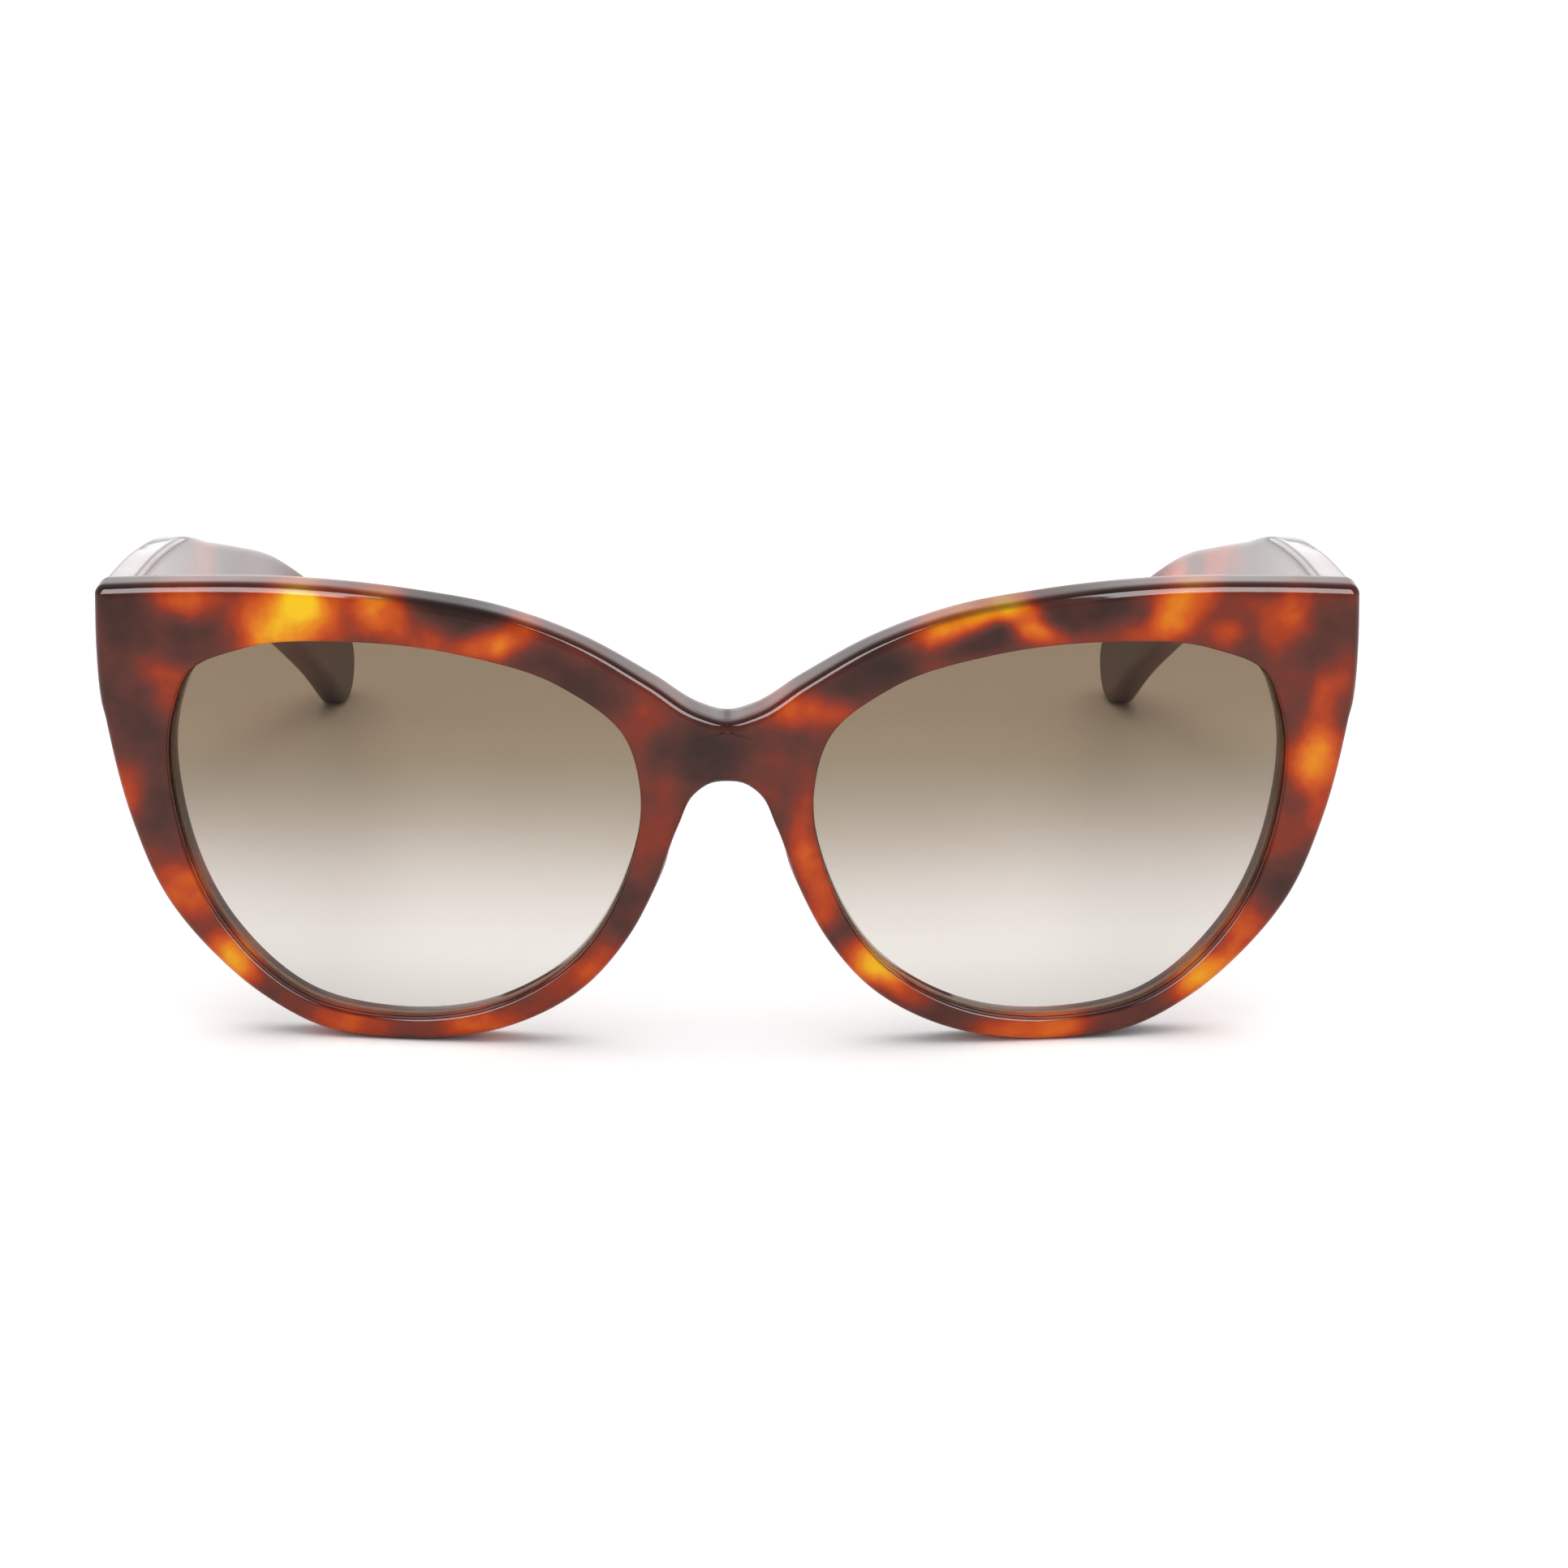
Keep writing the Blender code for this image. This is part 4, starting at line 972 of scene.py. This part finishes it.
def tortoise_temple(name, side, offset):
    """The same acetate on a temple, where the patches are longer and come from noise alone.

    They are bold on its outer face. On its inner face they are calm near the hinge and at the tip.
    """
    made, tree = new_material(name)
    place = millimetres(tree)
    inputs = {"Vector": place, "Location": offset, "Scale": (1.0, 0.62, 1.0)}
    moved = add_node(tree, "ShaderNodeMapping", inputs).outputs[0]
    clouds = noise(tree, moved, 0.075, detail=1.5, roughness=0.4)
    clouds = map_range(tree, clouds, 0.38, 0.72, 0.0, 1.0)
    detail = map_range(tree, noise(tree, moved, 0.25, detail=2.0), 0.3, 0.7, -0.1, 0.1)
    back = split(tree, place)["Y"]
    livelier = map_range(tree, back, *TEMPLE_LIVELY_Y, *TEMPLE_INNER_SPANS, smooth=True)
    calmer = map_range(tree, back, *TEMPLE_CALM_Y, 1.0, TEMPLE_TIP_SPAN, smooth=True)
    outwards = times(tree, facing(tree)["X"], side)
    outer = map_range(tree, outwards, 0.1, 0.8, 0.0, 1.0, smooth=True)
    span = map_range(tree, outer, 0.0, 1.0, times(tree, livelier, calmer), TEMPLE_OUTER_SPAN)
    field = times(tree, plus(tree, clouds, detail), span)
    colour = acetate_colour(tree, plus(tree, field, TEMPLE_GROUND, clamp=True))
    dull = map_range(tree, back, *TIP_DULL_Y, 0.0, TIP_ROUGHNESS, smooth=True)
    finish_acetate(tree, place, colour, "X", 0.5, TEMPLE_EDGE_SHADE, TEMPLE_COAT, dull)
    return made


def pad_acetate():
    made, tree = new_material("tortoise_acetate_pads")
    place = millimetres(tree)
    field = map_range(tree, noise(tree, place, 0.2), 0.3, 0.75, 0.12, 0.62)
    finish_acetate(tree, place, acetate_colour(tree, field), "X", 0.4)
    return made


# What white looks like through a lens at each height, in millimetres
LENS_TINT = [
    (4.0, srgb(249, 246, 241)), (9.6, srgb(248, 244, 238)), (12.6, srgb(244, 239, 233)),
    (15.6, srgb(236, 229, 223)), (18.6, srgb(225, 218, 209)), (21.5, srgb(212, 202, 192)),
    (24.4, srgb(196, 185, 172)), (27.3, srgb(182, 169, 153)), (30.1, srgb(169, 156, 139)),
    (33.0, srgb(160, 145, 124)), (38.6, srgb(152, 134, 114)), (46.0, srgb(148, 130, 110)),
]
LENS_VEIL = 0.02
LENS_PASSES = 0.80  # the share of that which passes, as the lit floor is brighter than white
LENS_MIRROR_IOR = 1.22
LENS_EDGE = srgb(150, 128, 104)  # the ground edge's own colour, behind its front part, which carries a painted reflection of the acetate rim
LENS_EDGE_DEPTHS = (2.45, 2.6)  # where one turns into the other, behind the face
LENS_EDGE_FACING = (0.66, 0.76)  # how square to the face, from edge to lens


def depth_behind_face(tree, place):
    """How far a place is behind the curved face of the front."""
    x, y, z = split(tree, place)
    z = minus(tree, z, FACE_MIDDLE_Z)
    wrap = times(tree, times(tree, x, x), 0.5 / FACE_RADIUS_ACROSS)
    dish = times(tree, times(tree, z, z), 0.5 / FACE_RADIUS_DOWN)
    return minus(tree, minus(tree, minus(tree, y, FRONT_Y), wrap), dish)


def lens_material():
    made, tree = new_material("gradient_lens")
    place = millimetres(tree)
    drift = map_range(tree, noise(tree, place, 0.05, detail=1.0), 0.3, 0.7, -0.5, 0.5)
    height = plus(tree, split(tree, place)["Z"], drift)
    low, high = LENS_TINT[0][0], LENS_TINT[-1][0]
    stops = []
    for z, colour in LENS_TINT:
        shares = [value * LENS_PASSES for value in without_veil(colour, LENS_VEIL)[:3]]
        through = [math.sqrt(share) for share in shares]  # light passes the front and the back
        stops.append(((z - low) / (high - low), (*through, 1.0)))
    tint = ramp(tree, map_range(tree, height, low, high, 0.0, 1.0), stops)
    clear = add_node(tree, "ShaderNodeBsdfTransparent", {"Color": tint})
    smudge = noise(tree, place, 0.35, detail=5.0, roughness=0.7)
    rough = map_range(tree, smudge, 0.35, 0.75, 0.015, 0.05)
    gloss = add_node(
        tree, "ShaderNodeBsdfGlossy", {"Color": (1.0, 0.97, 0.93, 1.0), "Roughness": rough}
    )
    mirror = add_node(tree, "ShaderNodeFresnel", {"IOR": LENS_MIRROR_IOR})
    surface = mix_shaders(tree, mirror.outputs[0], clear, gloss)
    along = maths(tree, "ABSOLUTE", facing(tree)["Y"])
    on_edge = map_range(tree, along, *LENS_EDGE_FACING, 1.0, 0.0)
    light = map_range(tree, noise(tree, place, 2.5), 0.3, 0.7, 0.0, 0.12)
    # The ground edge's front part takes the front's acetate colour, a painted reflection of the rim;
    # further back it keeps its own tan colour
    behind = map_range(tree, depth_behind_face(tree, place), *LENS_EDGE_DEPTHS, 0.0, 0.88)
    colour = mix_colours(tree, plus(tree, behind, light), front_colour(tree, place), LENS_EDGE)
    ground = add_node(tree, "ShaderNodeBsdfPrincipled", {"Base Color": colour, "Roughness": 0.55})
    show(tree, mix_shaders(tree, on_edge, surface, ground))
    return made


def steel(name, colour, stretch, rough):
    """Brushed steel: fine lines along one axis, with a few darker stains."""
    made, tree = new_material(name)
    place = millimetres(tree)
    stretched = add_node(tree, "ShaderNodeMapping", {"Vector": place, "Scale": stretch}).outputs[0]
    lines = noise(tree, stretched, 1.0, detail=4.0, roughness=0.7)
    stains = map_range(tree, noise(tree, place, 0.7), 0.35, 0.7, 0.75, 1.0)
    bump = add_node(tree, "ShaderNodeBump", {"Height": lines, "Strength": 0.15, "Distance": 0.00005})
    show(tree, add_node(tree, "ShaderNodeBsdfPrincipled", {
        "Base Color": mix_colours(tree, stains, (0.0, 0.0, 0.0, 1.0), colour), "Metallic": 1.0,
        "Roughness": map_range(tree, lines, 0.3, 0.7, rough - 0.08, rough + 0.1),
        "Normal": bump.outputs[0],
    }))
    return made


def floor_material():
    made, tree = new_material("pale_floor")
    show(tree, add_node(tree, "ShaderNodeBsdfPrincipled", {
        "Base Color": (0.92, 0.92, 0.92, 1.0), "Roughness": 0.9, "Specular IOR Level": 0.1,
    }))
    return made


# ---- the set ----


def add_area(name, place, target, size, power, sees):
    """A rectangular light that faces the target, with the kind of surface that sees it."""
    data = bpy.data.lights.new(name, "AREA")
    data.shape = "RECTANGLE"
    data.size, data.size_y = size
    data.energy = power
    light = bpy.data.objects.new(name, data)
    light.location = place
    light.visible_camera = False
    light.visible_diffuse = sees == "diffuse"
    light.visible_glossy = sees == "gloss"
    away = np.subtract(place, target)
    level = math.hypot(away[0], away[1])
    light.rotation_euler = (math.atan2(level, away[2]), 0, math.atan2(away[0], -away[1]))
    bpy.context.collection.objects.link(light)


def make_floor():
    mesh = bmesh.new()
    bmesh.ops.create_circle(mesh, cap_ends=True, segments=96, radius=FLOOR_RADIUS)
    data = bpy.data.meshes.new("floor")
    mesh.to_mesh(data)
    mesh.free()
    floor = bpy.data.objects.new("floor", data)
    floor.location = (0, 0, -FLOOR_DROP)
    bpy.context.collection.objects.link(floor)
    data.materials.append(floor_material())


def make_world():
    """Soft light from all round, dimmer in front, with two pale boards low behind."""
    world = bpy.data.worlds.new("studio")
    bpy.context.scene.world = world
    world.use_nodes = True
    tree = world.node_tree
    tree.nodes.clear()
    x, y, z = split(tree, add_node(tree, "ShaderNodeTexCoord").outputs["Generated"])
    level = map_range(tree, y, -0.3, 0.6, 0.6, 0.8, smooth=True)
    behind = map_range(tree, y, 0.3, 0.9, 0.0, 1.1, smooth=True)
    low = map_range(tree, z, 0.12, 0.5, 1.0, 0.0, smooth=True)
    aside = maths(tree, "ABSOLUTE", x)
    inner_edges = map_range(tree, aside, 0.02, 0.08, 0.3, 1.0)
    outer_edges = map_range(tree, aside, 0.14, 0.22, 1.0, 0.4)
    boards = times(tree, inner_edges, outer_edges)
    strength = plus(tree, level, times(tree, times(tree, behind, low), boards))
    background = add_node(
        tree, "ShaderNodeBackground", {"Color": (0.98, 0.99, 1.0, 1.0), "Strength": strength}
    )
    show(tree, background, "ShaderNodeOutputWorld")


def make_camera():
    data = bpy.data.cameras.new("camera")
    data.sensor_width = 36.0
    data.lens = CAMERA_LENS
    data.shift_x = CAMERA_SHIFT
    data.clip_start = 0.01
    data.clip_end = 50.0
    camera = bpy.data.objects.new("camera", data)
    camera.location = CAMERA_PLACE
    camera.rotation_euler = (math.radians(CAMERA_TILT), 0, 0)
    bpy.context.collection.objects.link(camera)
    bpy.context.scene.camera = camera


def make_set():
    make_camera()
    make_world()
    make_floor()
    above = (0.0, 0.0, OVERHEAD_HEIGHT)
    add_area("overhead", above, (0, 0, 0), OVERHEAD_SIZE, OVERHEAD_POWER, "diffuse")
    x, y, z = SOFTBOX_PLACE
    for side in SIDES.values():
        place = (x * side, y, z)
        add_area("softbox", place, (x * side, 0, z), SOFTBOX_SIZE, SOFTBOX_POWER, "gloss")
    bpy.context.scene.view_settings.view_transform = "Standard"


# ---- the pieces ----


def dress(piece, material):
    piece.data.materials.clear()
    piece.data.materials.append(material)


def place_piece(piece, material, body, node):
    """Give the piece its material, let it ride on the body and stand for the CAD node."""
    dress(piece, material)
    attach(piece, body)
    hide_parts(node)


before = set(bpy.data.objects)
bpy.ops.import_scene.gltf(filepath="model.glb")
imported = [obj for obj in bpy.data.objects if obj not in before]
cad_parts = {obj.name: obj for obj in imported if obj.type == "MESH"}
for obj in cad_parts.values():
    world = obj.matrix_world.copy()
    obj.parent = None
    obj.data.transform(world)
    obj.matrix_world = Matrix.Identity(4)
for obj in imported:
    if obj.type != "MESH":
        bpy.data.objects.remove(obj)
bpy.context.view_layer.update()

make_set()
acetate = tortoise_front()
pads = pad_acetate()
tint = lens_material()
leaf_steel = steel("hinge_steel", (0.66, 0.63, 0.58, 1.0), (2.0, 2.0, 22.0), 0.24)
screw_steel = steel("screw_steel", (0.72, 0.70, 0.66, 1.0), (9.0, 9.0, 1.5), 0.18)
wire_steel = steel("core_wire_steel", (0.70, 0.64, 0.50, 1.0), (6.0, 0.6, 6.0), 0.3)

place_piece(make_front(), acetate, "front", "front_frame")
for side_name, side_sign in SIDES.items():
    arm = f"temple_{side_name}_arm"
    offset = (31.0 * side_sign, 4.0, 8.0)
    temples = tortoise_temple(f"tortoise_acetate_temple_{side_name}", side_sign, offset)
    kinds = [  # (piece, how it is made, material, slot, body, CAD node)
        ("temple_acetate", make_temple, temples, "tortoise_acetate", arm, "temple"),
        ("tinted_lens", make_lens, tint, "gradient_lens", "front", "lens"),
        ("pad", make_nose_pad, pads, "pad_acetate", "front", "nose_pad"),
        ("front_leaf", make_front_leaf, leaf_steel, "hinge_steel", "front", "front_hinge_leaf"),
        ("temple_leaf", make_temple_leaf, leaf_steel, "hinge_steel", arm, "temple_hinge_leaf"),
        ("screw", make_screw, screw_steel, "screw_steel", "front", "hinge_screw"),
    ]
    for kind, make, material, slot, body, node in kinds:
        piece = make(f"{kind}_{side_name}", side_sign)
        place_piece(piece, material, body, f"{node}_{side_name}")
    dress(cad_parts[f"core_wire_{side_name}"], wire_steel)
